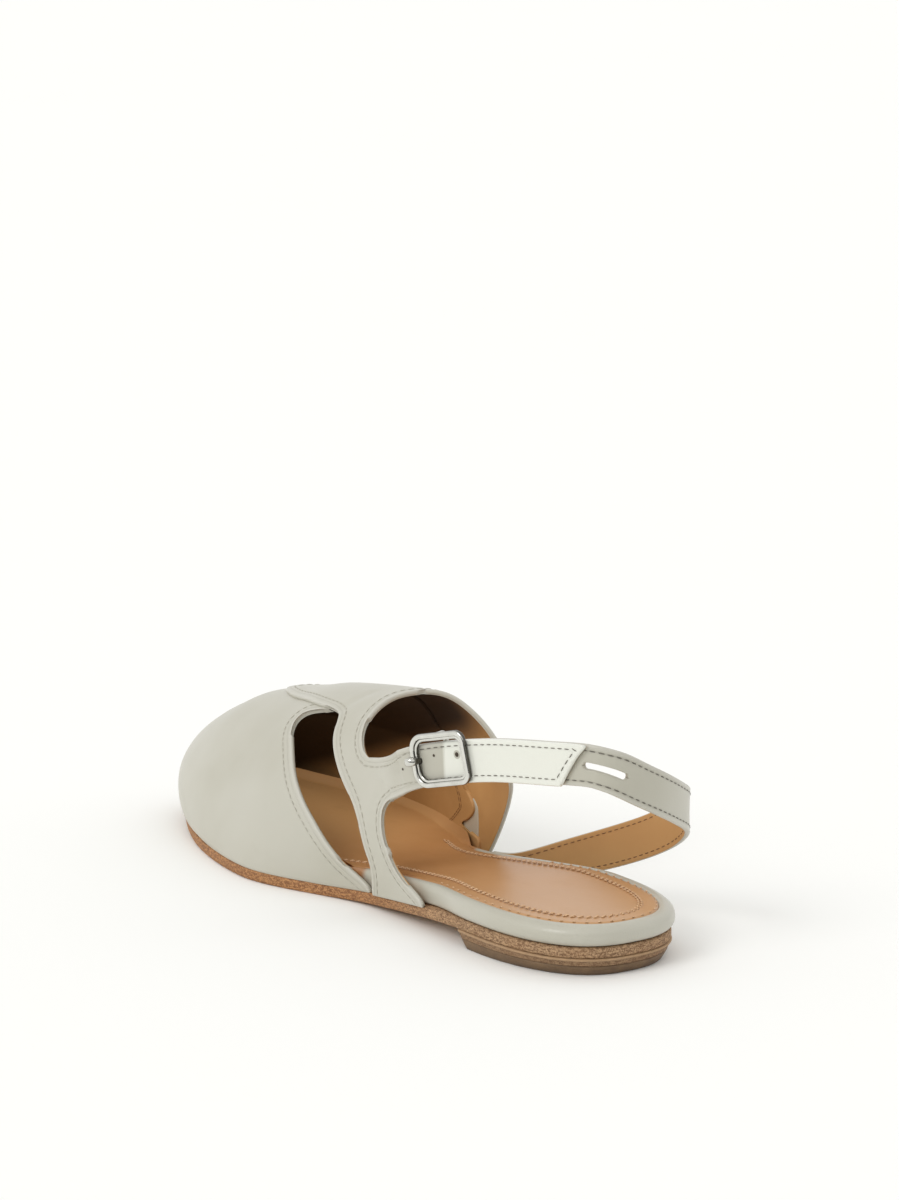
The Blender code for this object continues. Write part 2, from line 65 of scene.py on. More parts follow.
def through(rows, value, column=1):
    """A curve without overshoot through a table's first column and another one."""
    x = np.array([row[0] for row in rows])
    y = np.array([row[column] for row in rows])
    step = np.diff(x)
    rise = np.diff(y) / step
    slope = np.zeros(len(x))
    slope[0], slope[-1] = rise[0], rise[-1]
    for i in range(1, len(x) - 1):
        if rise[i - 1] * rise[i] > 0:
            left = 2 * step[i] + step[i - 1]
            right = step[i] + 2 * step[i - 1]
            slope[i] = (left + right) / (left / rise[i - 1] + right / rise[i])
    value = np.clip(np.asarray(value, float), x[0], x[-1])
    i = np.clip(np.searchsorted(x, value) - 1, 0, len(x) - 2)
    t = (value - x[i]) / step[i]
    start = y[i] * (1 + 2 * t) * (1 - t) ** 2 + slope[i] * step[i] * t * (1 - t) ** 2
    end = y[i + 1] * t * t * (3 - 2 * t) + slope[i + 1] * step[i] * t * t * (t - 1)
    return start + end


def unit(vector):
    return vector / max(np.linalg.norm(vector), 1e-9)


def place(along, inset=0.0):
    return inset + along * (LENGTH - 2 * inset) - HEEL_CENTRE


def outline(side, along, inset=0.0):
    """The x of the sole's edge: side is -1 on the outer and 1 on the inner side."""
    along = np.asarray(along, float)
    ball, ball_along = BALLS[side]
    heel_along = HEEL_ROUND / LENGTH
    back = np.clip(1 - along / heel_along, 0, 1)
    heel = (HEEL_HALF_WIDTH - inset) * (1 - back**2.5) ** 0.4
    ahead = np.clip((along - ball_along) / (1 - ball_along), 0, 1)
    round_toe = np.maximum(1 - ahead**1.6, 0) ** (1 / 1.6)
    toe = (ball - inset - side * TOE_SWING) * round_toe + side * TOE_SWING
    rows = [
        (heel_along - 0.02, HEEL_HALF_WIDTH),
        (heel_along, HEEL_HALF_WIDTH),
        (0.42, WAISTS[side]),
        (ball_along, ball),
        (ball_along + 0.02, ball),
    ]
    waist = through(rows, along) - inset
    return side * np.where(along < heel_along, heel, np.where(along > ball_along, toe, waist))


def sole_bottom(along):
    along = np.asarray(along, float)
    arch = HEEL_HEIGHT * (1 - ease(0.19, 0.52, along))
    return arch + TOE_SPRING * (np.maximum(along - 0.774, 0) / 0.226) ** 2


def sole_top(along):
    return sole_bottom(along) + SOLE_THICK


def new_piece(name, points, faces, materials, slots=None):
    """A mesh object that rides on the shoe; slots gives a material to each face."""
    mesh = bpy.data.meshes.new(name)
    mesh.from_pydata([tuple(map(float, point)) for point in points], [], faces)
    for material in materials:
        mesh.materials.append(material)
    if slots is not None:
        mesh.polygons.foreach_set("material_index", slots)
    form = bmesh.new()
    form.from_mesh(mesh)
    bmesh.ops.remove_doubles(form, verts=form.verts, dist=1e-7)
    bmesh.ops.dissolve_degenerate(form, edges=form.edges, dist=1e-8)
    bmesh.ops.recalc_face_normals(form, faces=form.faces)
    form.to_mesh(mesh)
    form.free()
    mesh.shade_smooth()
    piece = bpy.data.objects.new(name, mesh)
    bpy.context.scene.collection.objects.link(piece)
    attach(piece, "root")
    return piece


def layer_piece(name, rings, materials, end=1.0, count=150, across=2, crown=None, slots=None, lean=0.0):
    """A layer with the sole's outline, from rings of (inset, height), closed by flat faces.

    Crown gives the height added on the last face; slots gives a material to each band.
    Lean slants the cut front: it is the way back for each height under LEAN_TOP.
    """
    steps = np.linspace(0, 1, count)
    shares = (1 - np.cos(math.pi * steps)) / 2 if end == 1 else end * (1 - np.cos(math.pi / 2 * steps))
    points, faces, kinds, sides = [], [], [], []
    for inset, height in rings:
        draw = inset(shares) + 0 * shares
        pair = []
        back = lean * (LEAN_TOP - height(shares)) / LENGTH * ease(0.0, 1.0, shares / end)
        for side in (-1, 1):
            near = shares - back
            row = np.stack([outline(side, near, draw), place(near, draw), height(shares)], 1)
            pair.append(len(points))
            points.extend(row)
        sides.append(pair)
    for k in range(len(rings) - 1):
        for a, b in zip(sides[k], sides[k + 1]):
            for i in range(count - 1):
                faces.append((a + i, a + i + 1, b + i + 1, b + i))
                kinds.append(slots[k] if slots else 0)
        if end < 1:
            a, b = sides[k], sides[k + 1]
            e = count - 1
            faces.append((a[0] + e, a[1] + e, b[1] + e, b[0] + e))
            kinds.append(slots[k] if slots else 0)
    for k in (0, len(rings) - 1):
        near = np.array(points[sides[k][0] : sides[k][0] + count])
        far = np.array(points[sides[k][1] : sides[k][1] + count])
        parts = across if k else 2
        rows = [sides[k][0]]
        for m in range(1, parts):
            row = near + (far - near) * m / parts
            if k and crown:
                row[:, 2] += crown(m / parts, shares)
            rows.append(len(points))
            points.extend(row)
        rows.append(sides[k][1])
        for a, b in zip(rows, rows[1:]):
            for i in range(count - 1):
                faces.append((a + i, a + i + 1, b + i + 1, b + i))
                kinds.append(slots[k if k == 0 else k - 1] if slots else 0)
    return new_piece(name, points, faces, materials, slots=kinds)


class Wire:
    """A node socket that can be used in sums."""

    def __init__(self, tree, socket):
        self.tree = tree
        self.socket = socket

    def node(self, kind, settings=None, **values):
        made = self.tree.nodes.new(kind)
        for key, value in (settings or {}).items():
            setattr(made, key, value)
        for key, value in values.items():
            socket = made.inputs[int(key[1:])] if key[1:].isdigit() else made.inputs[key.replace("_", " ")]
            if isinstance(value, Wire):
                self.tree.links.new(value.socket, socket)
            else:
                socket.default_value = value
        return [Wire(self.tree, out) for out in made.outputs]

    def sum(self, kind, *values):
        numbers = {f"i{i}": value for i, value in enumerate(values)}
        return self.node("ShaderNodeMath", {"operation": kind}, **numbers)[0]

    def __add__(self, other):
        return self.sum("ADD", self, other)

    def __radd__(self, other):
        return self.sum("ADD", other, self)

    def __sub__(self, other):
        return self.sum("SUBTRACT", self, other)

    def __rsub__(self, other):
        return self.sum("SUBTRACT", other, self)

    def __mul__(self, other):
        return self.sum("MULTIPLY", self, other)

    def __rmul__(self, other):
        return self.sum("MULTIPLY", other, self)

    def __abs__(self):
        return self.sum("ABSOLUTE", self)

    def parts(self):
        return self.node("ShaderNodeSeparateXYZ", Vector=self)

    def step(self, low, high, start=0.0, end=1.0):
        """A soft step from start to end while this number goes from low to high."""
        settings = {"interpolation_type": "SMOOTHSTEP"}
        return self.node("ShaderNodeMapRange", settings, Value=self, i1=low, i2=high, i3=start, i4=end)[0]

    def band(self, centre, half):
        """1 at the centre of a band, falling to 0 at its half width."""
        return abs(self - centre).step(0.0, half, 1.0, 0.0)

    def blend(self, first, second):
        """A colour between two, with this number as the share of the second."""
        made = self.tree.nodes.new("ShaderNodeMix")
        made.data_type = "RGBA"
        for i, value in ((0, self), (6, first), (7, second)):
            if isinstance(value, Wire):
                self.tree.links.new(value.socket, made.inputs[i])
            elif i:
                made.inputs[i].default_value = (*value, 1)
            else:
                made.inputs[i].default_value = value
        return Wire(self.tree, made.outputs[2])


def finish_material(name, paint, **fixed):
    """A material whose paint function gets the spot on the shoe and returns links by socket."""
    material = bpy.data.materials.new(name)
    material.use_nodes = True
    tree = material.node_tree
    shader = tree.nodes["Principled BSDF"]
    for key, value in fixed.items():
        shader.inputs[key.replace("_", " ")].default_value = value
    spot = tree.nodes.new("ShaderNodeTexCoord")
    for key, value in paint(Wire(tree, spot.outputs["Object"])).items():
        tree.links.new(value.socket, shader.inputs[key.replace("_", " ")])
    return material


def noise(spot, scale, detail=3.0, roughness=0.5, stretch=None):
    if stretch:
        spot = spot.node("ShaderNodeVectorMath", {"operation": "MULTIPLY"}, i0=spot, i1=stretch)[0]
    return spot.node("ShaderNodeTexNoise", i2=scale, i3=detail, i4=roughness, Vector=spot)[0]


def mark(spot, name):
    return spot.node("ShaderNodeAttribute", {"attribute_name": name})[2]


def bump(spot, height, depth, strength=1.0):
    return spot.node("ShaderNodeBump", Strength=strength, Distance=depth, Height=height)[0]


def paint_sole_edge(spot):
    fibre = noise(spot, 1250.0, 4.0, 0.75, (0.55, 0.55, 1.3))
    speck = noise(spot, 2300.0, 2.0, 0.7)
    cloud = noise(spot, 90.0, 3.0, 0.6)
    front = spot.parts()[1].step(0.020, 0.090)
    tone = (fibre * 0.55 + speck * 0.45).step(0.43, 0.58)
    heel_tone = tone.blend((0.165, 0.085, 0.038), (0.520, 0.335, 0.185))
    front_tone = tone.blend((0.190, 0.074, 0.026), (0.530, 0.265, 0.105))
    colour = front.blend(heel_tone, front_tone)
    colour = (cloud.step(0.40, 0.75) * 0.30).blend(colour, (0.300, 0.150, 0.062))
    return {
        "Base_Color": colour,
        "Roughness": fibre * 0.25 + 0.62,
        "Normal": bump(spot, fibre * 0.6 + speck * 0.4, 0.00022),
    }


def paint_sole_face(spot):
    wear = noise(spot, 60.0, 5.0, 0.6)
    grain = noise(spot, 1500.0, 3.0, 0.6)
    scuff = noise(spot, 300.0, 4.0, 0.7, (3.0, 0.5, 1.0))
    colour = wear.step(0.35, 0.7).blend((0.42, 0.24, 0.125), (0.50, 0.31, 0.17))
    colour = (scuff.step(0.56, 0.75) * 0.4).blend(colour, (0.26, 0.15, 0.085))
    return {
        "Base_Color": colour,
        "Roughness": wear * 0.3 + 0.42,
        "Normal": bump(spot, grain * 0.5 + scuff * 0.5, 0.00008),
    }


sole_edge = finish_material("sole_edge", paint_sole_edge)
sole_face = finish_material("sole_face", paint_sole_face)


def flat(value):
    return lambda along: value + 0 * along


def sole_ring(inset, down, up=0.0):
    if up:
        return flat(inset), lambda a: sole_top(a) - up
    return flat(inset), lambda a: sole_bottom(a) + down


outsole = layer_piece(
    "outsole_leather",
    [
        sole_ring(0.00110, 0.0),
        sole_ring(0.00060, 0.00008),
        sole_ring(0.00022, 0.00030),
        sole_ring(0.00004, 0.00070),
        sole_ring(0.00000, 0.00130),
        sole_ring(0.00000, 0, 0.00110),
        sole_ring(0.00006, 0, 0.00060),
        sole_ring(0.00028, 0, 0.00020),
        sole_ring(0.00070, 0, 0.00001),
    ],
    [sole_edge, sole_face],
    count=220,
    slots=[1, 0, 0, 0, 0, 0, 0, 0],
)
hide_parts("outsole")


# The heel: a leather lift and a harder top piece, nailed and glued under the seat.
# Both are trimmed with the sole; a thin pale ridge is left where the lift meets it.
TOP_PIECE_THICK = 0.0033
LIFT_THICK = 0.0020
LIFT_TOP = TOP_PIECE_THICK + LIFT_THICK
HEEL_SHARE = 0.0540 / LENGTH
HEEL_LEAN = 0.75


def paint_lift(spot):
    links = paint_sole_edge(spot)
    height = spot.parts()[2]
    ridge = height.step(LIFT_TOP - 0.0004, LIFT_TOP)
    colour = (height * 0 + 0.45).blend(links["Base_Color"], (0.185, 0.105, 0.052))
    links["Base_Color"] = (ridge * 0.60).blend(colour, (0.520, 0.340, 0.190))
    return links


def paint_top_piece(spot):
    cloud = noise(spot, 160.0, 4.0, 0.6)
    speck = noise(spot, 2200.0, 2.0, 0.6)
    height = spot.parts()[2]
    tone = (cloud * 0.7 + speck * 0.3).step(0.35, 0.7)
    colour = tone.blend((0.130, 0.074, 0.034), (0.200, 0.122, 0.060))
    colour = height.step(0.0, 0.0020, 0.55, 0.0).blend(colour, (0.090, 0.055, 0.028))
    return {
        "Base_Color": colour,
        "Roughness": cloud * 0.3 + 0.38,
        "Normal": bump(spot, speck * 0.5 + cloud * 0.5, 0.00010),
    }


lift_leather = finish_material("heel_lift_fibre", paint_lift)
top_rubber = finish_material("top_piece_rubber", paint_top_piece)


def drawn_in(inset):
    """An inset that is full round the back of the heel and less along its sides."""
    return lambda along: inset * (1 - 0.55 * ease(0.02, 0.20, along))


lift = layer_piece(
    "heel_lift_leather",
    [
        (drawn_in(0.00110), flat(TOP_PIECE_THICK + 0.00002)),
        (drawn_in(0.00085), flat(TOP_PIECE_THICK + 0.00020)),
        (drawn_in(0.00070), flat(TOP_PIECE_THICK + 0.00060)),
        (drawn_in(0.00035), flat(LIFT_TOP - 0.00030)),
        (flat(-0.00010), flat(LIFT_TOP - 0.00004)),
        (flat(-0.00018), flat(LIFT_TOP + 0.00016)),
        (flat(-0.00012), flat(LIFT_TOP + 0.00036)),
        (flat(0.00030), flat(LIFT_TOP + 0.00058)),
    ],
    [lift_leather],
    end=HEEL_SHARE,
    count=110,
    lean=HEEL_LEAN,
)
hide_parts("heel_lift")
top_piece = layer_piece(
    "heel_top_piece",
    [
        (drawn_in(0.00310), flat(0.0)),
        (drawn_in(0.00260), flat(0.00016)),
        (drawn_in(0.00220), flat(0.00060)),
        (drawn_in(0.00145), flat(0.00200)),
        (drawn_in(0.00100), flat(TOP_PIECE_THICK - 0.00030)),
        (drawn_in(0.00125), flat(TOP_PIECE_THICK)),
    ],
    [top_rubber],
    end=HEEL_SHARE,
    count=110,
    lean=HEEL_LEAN,
)
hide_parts("top_piece")


# The footbed: a cork and fibre bed wrapped in the same pearl greige leather as the upper.
# Its edge is a soft plump roll, stretched smooth round the heel.
BED_THICK = 0.0066
BED_ROLL = 0.0034
RAND_SWELL = 0.0013
WALL = 0.0016
FEATHER = WALL + 0.0005
BED_DRAFT = [(0.0, 0.0), (0.45, 0.0), (0.60, 0.45), (0.75, 0.60), (0.90, 1.20), (1.0, 2.20)]


def paint_pearl(spot):
    """Pearl greige leather: fine grain with pores, drawn folds and soft clouding."""
    grain = noise(spot, 1500.0, 3.0, 0.65)
    pores = spot.node("ShaderNodeTexVoronoi", {"feature": "DISTANCE_TO_EDGE"}, Scale=1150.0, Vector=spot)[0]
    cloud = noise(spot, 22.0, 3.0, 0.55)
    patch = noise(spot, 75.0, 4.0, 0.6)
    wrinkle = noise(spot, 210.0, 3.0, 0.6, (1.0, 0.45, 1.4))
    colour = cloud.step(0.30, 0.72).blend((0.478, 0.460, 0.380), (0.528, 0.512, 0.438))
    return {
        "Base_Color": (patch.step(0.55, 0.85) * 0.25).blend(colour, (0.445, 0.422, 0.340)),
        "Roughness": cloud * 0.06 + patch * 0.08 + 0.235,
        "Normal": bump(spot, grain * 0.35 + pores.step(0.0, 0.25) * 0.30 + wrinkle * 0.55, 0.00009, 0.8),
    }


PEARL_LOOK = {"Coat_Weight": 0.35, "Coat_Roughness": 0.16, "Specular_IOR_Level": 0.55}
pearl_plain = finish_material("pearl_leather_wrap", paint_pearl, **PEARL_LOOK)


def paint_wrap(spot):
    """The wrap is pearl where it shows and raw tan where the upper covers it."""
    links = paint_pearl(spot)
    inside = spot.parts()[1].step(0.0855, 0.0885)
    links["Base_Color"] = inside.blend(links["Base_Color"], (0.430, 0.210, 0.085))
    links["Roughness"] = links["Roughness"] + 0.16
    return links


pearl_wrap = finish_material("pearl_leather_bed_wrap", paint_wrap, **PEARL_LOOK)


def covered(along):
    """0 at the open heel and 1 where the upper covers the footbed's edge."""
    return ease(0.19, 0.285, along)


def bed_edge(along):
    return GAP + covered(along) * (FEATHER + GAP) + through(BED_DRAFT, along) * WALL


def bed_roll(along):
    """Breadth of the rolled edge, full round the heel and narrow inside the upper."""
    return BED_ROLL * (1 - 0.80 * ease(0.42, 0.54, along))


def bed_ring(inward, up, swell):
    def inset(along):
        return bed_edge(along) + inward * bed_roll(along) - swell * RAND_SWELL * (1 - covered(along))

    return inset, lambda a: sole_top(a) + GAP + up * BED_THICK


roll = [
    (0.20, 0.00, 0.00),
    (0.08, 0.02, 0.10),
    (0.01, 0.08, 0.35),
    (0.00, 0.16, 0.65),
    (0.00, 0.26, 0.88),
    (0.00, 0.38, 0.99),
    (0.00, 0.50, 1.00),
    (0.01, 0.62, 0.93),
    (0.04, 0.73, 0.82),
    (0.10, 0.82, 0.67),
    (0.19, 0.895, 0.52),
    (0.30, 0.95, 0.38),
    (0.44, 0.985, 0.22),
    (0.60, 1.00, 0.08),
    (0.76, 0.985, 0.00),
    (0.90, 0.945, 0.00),
    (0.97, 0.90, 0.00),
    (1.00, 0.85, 0.00),
    (1.00, 0.80, 0.00),
]
footbed = layer_piece(
    "footbed_wrap",
    [bed_ring(inward, up, swell) for inward, up, swell in roll],
    [pearl_wrap],
    count=200,
)
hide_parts("footbed")


# The sock: tan kid leather over a thin foam, cemented on the footbed inside the roll.
# Two rows of fine chain stitching run round it, and the heel pad shines a little.
SOCK_THICK = 0.0010
CHAIN_INSET = 4.9
CHAIN_END = 0.103


def sock_edge(along):
    return bed_edge(along) + bed_roll(along) + GAP + 0.15 * BED_ROLL * ease(0.80, 1.0, along)


def sock_height(along):
    return sole_top(along) + 0.80 * BED_THICK + 2 * GAP + SOCK_THICK


def sock_crown(across, along):
    """The tan sock is dished a little by the heel pad and the foot's arch."""
    from_edge = np.sin(math.pi * across) ** 0.7
    dish = -0.0004 * ease(0.0, 0.10, along) * (1 - ease(0.25, 0.4, along))
    return from_edge * (dish + 0.0003) * ease(0.0, 0.03, along) * (1 - ease(0.95, 1.0, along))


def nearest(points, lines, spacing=0.0003):
    """Distance in millimetres of every point to the nearest of some lines."""
    spots = []
    for line in lines:
        line = np.asarray(line)
        for a, b in zip(line, line[1:]):
            parts = max(int(np.linalg.norm(b - a) / spacing), 1)
            spots.extend(a + (b - a) * k / parts for k in range(parts))
    tree = KDTree(len(spots))
    for i, spot in enumerate(spots):
        tree.insert(spot, i)
    tree.balance()
    return np.array([tree.find(point)[2] for point in points]) * 1000


def add_mark(piece, name, values):
    layer = piece.data.attributes.new(name, "FLOAT", "POINT")
    layer.data.foreach_set("value", np.asarray(values, np.float32))


def points_of(piece):
    points = np.empty(len(piece.data.vertices) * 3)
    piece.data.vertices.foreach_get("co", points)
    return points.reshape(-1, 3)


def paint_sock(spot):
    """Tan kid leather, paler at the heel as a painted sheen, lighter inside the upper as painted light,
    with a stitch channel darkened as painted shade.
    """
    grain = noise(spot, 1300.0, 4.0, 0.6)
    cloud = noise(spot, 28.0, 4.0, 0.6)
    rub = noise(spot, 90.0, 5.0, 0.6, (1.0, 0.6, 1.0))
    across, along, _ = spot.parts()
    heel = along.step(0.075, -0.005)
    stitched = 1.0 - along.step(0.098, 0.106) * across.step(0.0, 0.004)
    channel = mark(spot, "rim").band(CHAIN_INSET, 0.80) * stitched
    colour = cloud.step(0.3, 0.72).blend((0.430, 0.205, 0.075), (0.500, 0.255, 0.105))
    # Painted sheen: the heel is paler, and glossier too.
    colour = (heel * 0.60).blend(colour, (0.610, 0.360, 0.175))
    # Painted light: the sock is lighter where the upper covers it, standing in for light that does not
    # reach there.
    colour = (along.step(0.085, 0.150) * 0.9).blend(colour, (0.690, 0.390, 0.165))
    colour = (rub.step(0.55, 0.8) * 0.20).blend(colour, (0.380, 0.185, 0.075))
    # Painted shade: the stitch channel is darkened.
    return {
        "Base_Color": (channel * 0.45).blend(colour, (0.26, 0.115, 0.045)),
        "Roughness": rub * 0.16 + 0.32 - heel * 0.06,
        "Normal": bump(spot, grain * 0.5 + cloud * 0.5 - channel * 2.2, 0.00009, 0.8),
    }


sock_leather = finish_material("tan_sock_leather", paint_sock, Coat_Weight=0.12, Coat_Roughness=0.30)
sock = layer_piece(
    "tan_sock",
    [
        (sock_edge, lambda a: sock_height(a) - SOCK_THICK),
        (sock_edge, lambda a: sock_height(a) - 0.0004),
        (lambda a: sock_edge(a) + 0.00012, lambda a: sock_height(a) - 0.00016),
        (lambda a: sock_edge(a) + 0.00036, lambda a: sock_height(a) - 0.00004),
        (lambda a: sock_edge(a) + 0.00070, sock_height),
        (lambda a: sock_edge(a) + 0.00150, sock_height),
    ],
    [sock_leather],
    count=220,
    across=60,
    crown=sock_crown,
)


def inner_line(inset, height, count=400):
    """A closed line on a layer at an inset from its edge."""
    shares = (1 - np.cos(math.pi * np.linspace(0, 1, count))) / 2
    rows = []
    for side, row in ((-1, shares), (1, shares[::-1])):
        draw = inset(row)
        rows.append(np.stack([outline(side, row, draw), place(row, draw), height(row)], 1))
    return np.concatenate(rows)


add_mark(sock, "rim", nearest(points_of(sock), [inner_line(sock_edge, sock_height)]))
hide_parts("sock")


# The sock's stitching: two staggered rows of short tan stitches, each slanted like a chain.
# A third row, spaced wider, holds the sock's edge down round the heel.
def run_of(line):
    """The distance run at each point of a line."""
    return np.concatenate([[0], np.cumsum(np.linalg.norm(np.diff(line, axis=0), axis=1))])


def even_spots(line, pitch, start=0.0):
    """Middle, direction and index share at an even pitch along a line."""
    line = np.asarray(line, float)
    run = run_of(line)
    spots = np.arange(start + pitch / 2, run[-1], pitch)
    rows = [spots, spots + pitch / 4, spots - pitch / 4]
    middle, ahead, back = (np.stack([np.interp(row, run, line[:, k]) for k in range(3)], 1) for row in rows)
    ahead = ahead - back
    ahead /= np.maximum(np.linalg.norm(ahead, axis=1), 1e-9)[:, None]
    return middle, ahead, np.interp(spots, run, np.arange(len(line)))


def ring_faces(rings, sides, start=0):
    """Faces between closed rings of points."""
    faces = []
    for a in range(start, start + (rings - 1) * sides, sides):
        for m in range(sides):
            n = (m + 1) % sides
            faces.append((a + m, a + n, a + sides + n, a + sides + m))
    return faces


def threads(name, spots, length, width, rise, material, turn=0.0):
    """Short rounded stitches lying on a surface: spots are (middle, direction, normal)."""
    rings, sides = 7, 6
    points, faces = [], []
    for middle, ahead, normal in spots:
        normal = unit(normal - ahead * normal.dot(ahead))
        across = np.cross(normal, ahead)
        if turn:
            ahead = ahead * math.cos(turn) + across * math.sin(turn)
            across = np.cross(normal, ahead)
        first = len(points)
        for t in np.linspace(-1, 1, rings):
            full = max(1 - abs(t) ** 3.0, 0.02) ** 0.5
            sink = rise * (0.55 - 0.9 * t * t)
            for angle in 2 * math.pi * np.arange(sides) / sides:
                offset = across * math.cos(angle) * width / 2 * full
                offset = offset + normal * (math.sin(angle) * rise * full + sink)
                points.append(middle + ahead * t * length / 2 + offset)
        faces += ring_faces(rings, sides, first)
        faces.append(tuple(range(first, first + sides)))
        faces.append(tuple(first + rings * sides - 1 - m for m in range(sides)))
    return new_piece(name, points, faces, [material])


def thread_paint(light, dark):
    def paint(spot):
        twist = noise(spot, 5200.0, 2.0, 0.5)
        return {"Base_Color": twist.step(0.35, 0.65).blend(dark, light), "Roughness": twist * 0.2 + 0.5}

    return paint


tan_thread = finish_material("tan_thread", thread_paint((0.80, 0.56, 0.34), (0.52, 0.30, 0.15)))
up = np.array([0.0, 0.0, 1.0])
chain = []
for inset, start in ((0.00445, 0.0), (0.00540, 0.0012)):
    line = inner_line(lambda a: sock_edge(a) + inset, lambda a: sock_height(a) + 0.00020)
    middle, ahead, _ = even_spots(line, 0.0024, start)
    chain += [(m, d, up) for m, d in zip(middle, ahead) if m[0] < 0 or m[1] < CHAIN_END]
sock_threads = threads("sock_stitching", chain, 0.00150, 0.00066, 0.00026, tan_thread, 0.34)
edge_line = inner_line(lambda a: sock_edge(a) + 0.00010, lambda a: sock_height(a) + 0.00004)
middle, ahead, _ = even_spots(edge_line, 0.0040)
edge_spots = [(m, d, up) for m, d in zip(middle, ahead) if m[1] < 0.050]
edge_threads = threads("bed_edge_stitching", edge_spots, 0.0012, 0.00050, 0.00024, tan_thread)


# The sock's turned edge: its thin rim runs down beside the wrap and, inside the upper,
# up the foot of the lining, so that no open seam shows there. Same kid leather.
COVE = [
    (0.00110, -0.00012, 0.0),
    (0.00040, -0.00008, 0.00010),
    (-0.00020, -0.00030, 0.00050),
    (-0.00080, -0.00120, 0.00190),
    (-0.00160, -0.00200, 0.00360),
    (-0.00240, -0.00260, 0.00560),
]


def inside_upper(along):
    return ease(0.44, 0.50, along)


cove_rings = []
for inset, rise, climb in COVE:
    out = min(inset + 0.0006, 0.0)
    cove_rings.append(
        inner_line(
            lambda a: sock_edge(a) + inset - out * (1 - inside_upper(a)),
            lambda a: sock_height(a) + rise + climb * inside_upper(a),
        )
    )
cove_faces = ring_faces(len(COVE), len(cove_rings[0]))
cove = new_piece("sock_turned_edge", np.concatenate(cove_rings), cove_faces, [sock_leather])
add_mark(cove, "rim", np.zeros(len(points_of(cove))))


# The vamp: the closed front, cut from one skin and pulled over the last's toe.
# Its free edge is folded under and stitched; a tan lining is cemented inside it.
INSTEP_HEIGHT = 0.0640
CREST_SHIFT = 0.0045
TOE_SWELL = 0.0021
CREST_HEIGHT = [
    (0.25, 1.000), (0.40, 1.000), (0.46, 0.990), (0.53, 0.962),
    (0.59, 0.933), (0.65, 0.897), (0.70, 0.850), (0.75, 0.812),
    (0.80, 0.776), (0.85, 0.693), (0.90, 0.605), (0.95, 0.540),
    (1.00, 0.480),
]
SECTIONS = [
    (0.25, 2.40, 0.10, 0.08),
    (0.45, 2.40, 0.10, 0.08),
    (0.53, 2.15, 0.03, 0.05),
    (0.60, 1.95, 0.01, 0.03),
    (0.68, 1.88, 0.01, 0.01),
    (0.78, 2.10, 0.05, 0.02),
    (0.88, 2.40, 0.10, 0.06),
    (1.00, 2.60, 0.14, 0.10),
]
CREST_SIDE = [(0.25, 1.10), (0.50, 1.00), (0.65, 0.65), (0.80, 0.25), (1.00, 0.22)]
PANEL_FRONT = [
    (0.000, 0.414), (0.030, 0.406), (0.050, 0.407), (0.079, 0.418),
    (0.135, 0.437), (0.170, 0.455), (0.201, 0.480), (0.242, 0.510),
    (0.267, 0.525), (0.292, 0.536), (0.330, 0.549), (0.350, 0.560),
    (0.361, 0.579), (0.369, 0.603), (0.380, 0.638), (0.394, 0.670),
    (0.426, 0.725), (0.480, 0.766), (0.530, 0.762), (0.600, 0.722),
    (0.700, 0.635), (0.800, 0.552), (0.870, 0.500), (0.903, 0.476),
    (0.950, 0.474), (1.000, 0.480),
]
VAMP_REAR = [
    (0.000, 0.420), (0.009, 0.429), (0.050, 0.477), (0.119, 0.529),
    (0.189, 0.575), (0.252, 0.609), (0.300, 0.637), (0.325, 0.645),
    (0.343, 0.644), (0.356, 0.634), (0.365, 0.614), (0.371, 0.585),
    (0.376, 0.552), (0.500, 0.545), (0.700, 0.545), (0.800, 0.532),
    (0.856, 0.512), (0.903, 0.482), (0.925, 0.502), (0.941, 0.523),
    (0.946, 0.508), (0.951, 0.484), (0.957, 0.466), (1.000, 0.466),
]


def last_point(turn, along, out):
    """Points on the last, grown by out; turn goes from the outer feather to the inner."""
    turn, along, out = np.broadcast_arrays(np.asarray(turn, float), along, out)
    base = sole_top(along) + GAP
    dome = np.maximum(1 - (np.maximum(along - 0.86, 0) / 0.14) ** 2.5, 0) ** 0.4
    rise = np.maximum(np.sin(math.pi * turn), 0.0)
    swell = TOE_SWELL * ease(0.70, 0.95, along) * np.sin(math.pi * (rise * dome) ** 0.30)
    inset = FEATHER - out - swell
    height = (through(CREST_HEIGHT, along) * INSTEP_HEIGHT - base) * dome
    height = height * (1 + out / np.maximum(height, 4 * WALL))
    crest = CREST_SHIFT * through(CREST_SIDE, along)
    curve = through(SECTIONS, along)
    bulge = np.where(turn < 0.5, through(SECTIONS, along, 2), through(SECTIONS, along, 3))
    reach = np.maximum(1 - rise**curve, 0.0) ** (1 / curve) * (1 + bulge * np.sin(math.pi * rise))
    edge = np.where(turn < 0.5, outline(-1, along, inset), outline(1, along, inset))
    return np.stack([crest + (edge - crest) * reach, place(along, inset), base + height * rise], -1)


def spread_turns(count, *lines):
    """Turns spaced evenly along one or more lines that run over the last."""
    fine = np.linspace(0, 1, 4001)
    run = np.zeros(len(fine))
    for line in lines:
        points = last_point(fine, line(fine), WALL)
        step = np.linalg.norm(np.diff(points, axis=0), axis=1)
        run[1:] += np.cumsum(step)
    return np.interp(np.linspace(0, run[-1], count), run, fine)


def grid(rows, columns, start=0):
    corners = start + np.arange(rows - 1)[:, None] * columns + np.arange(columns - 1)
    corners = corners.ravel()
    return np.stack([corners, corners + 1, corners + columns + 1, corners + columns], 1).tolist()


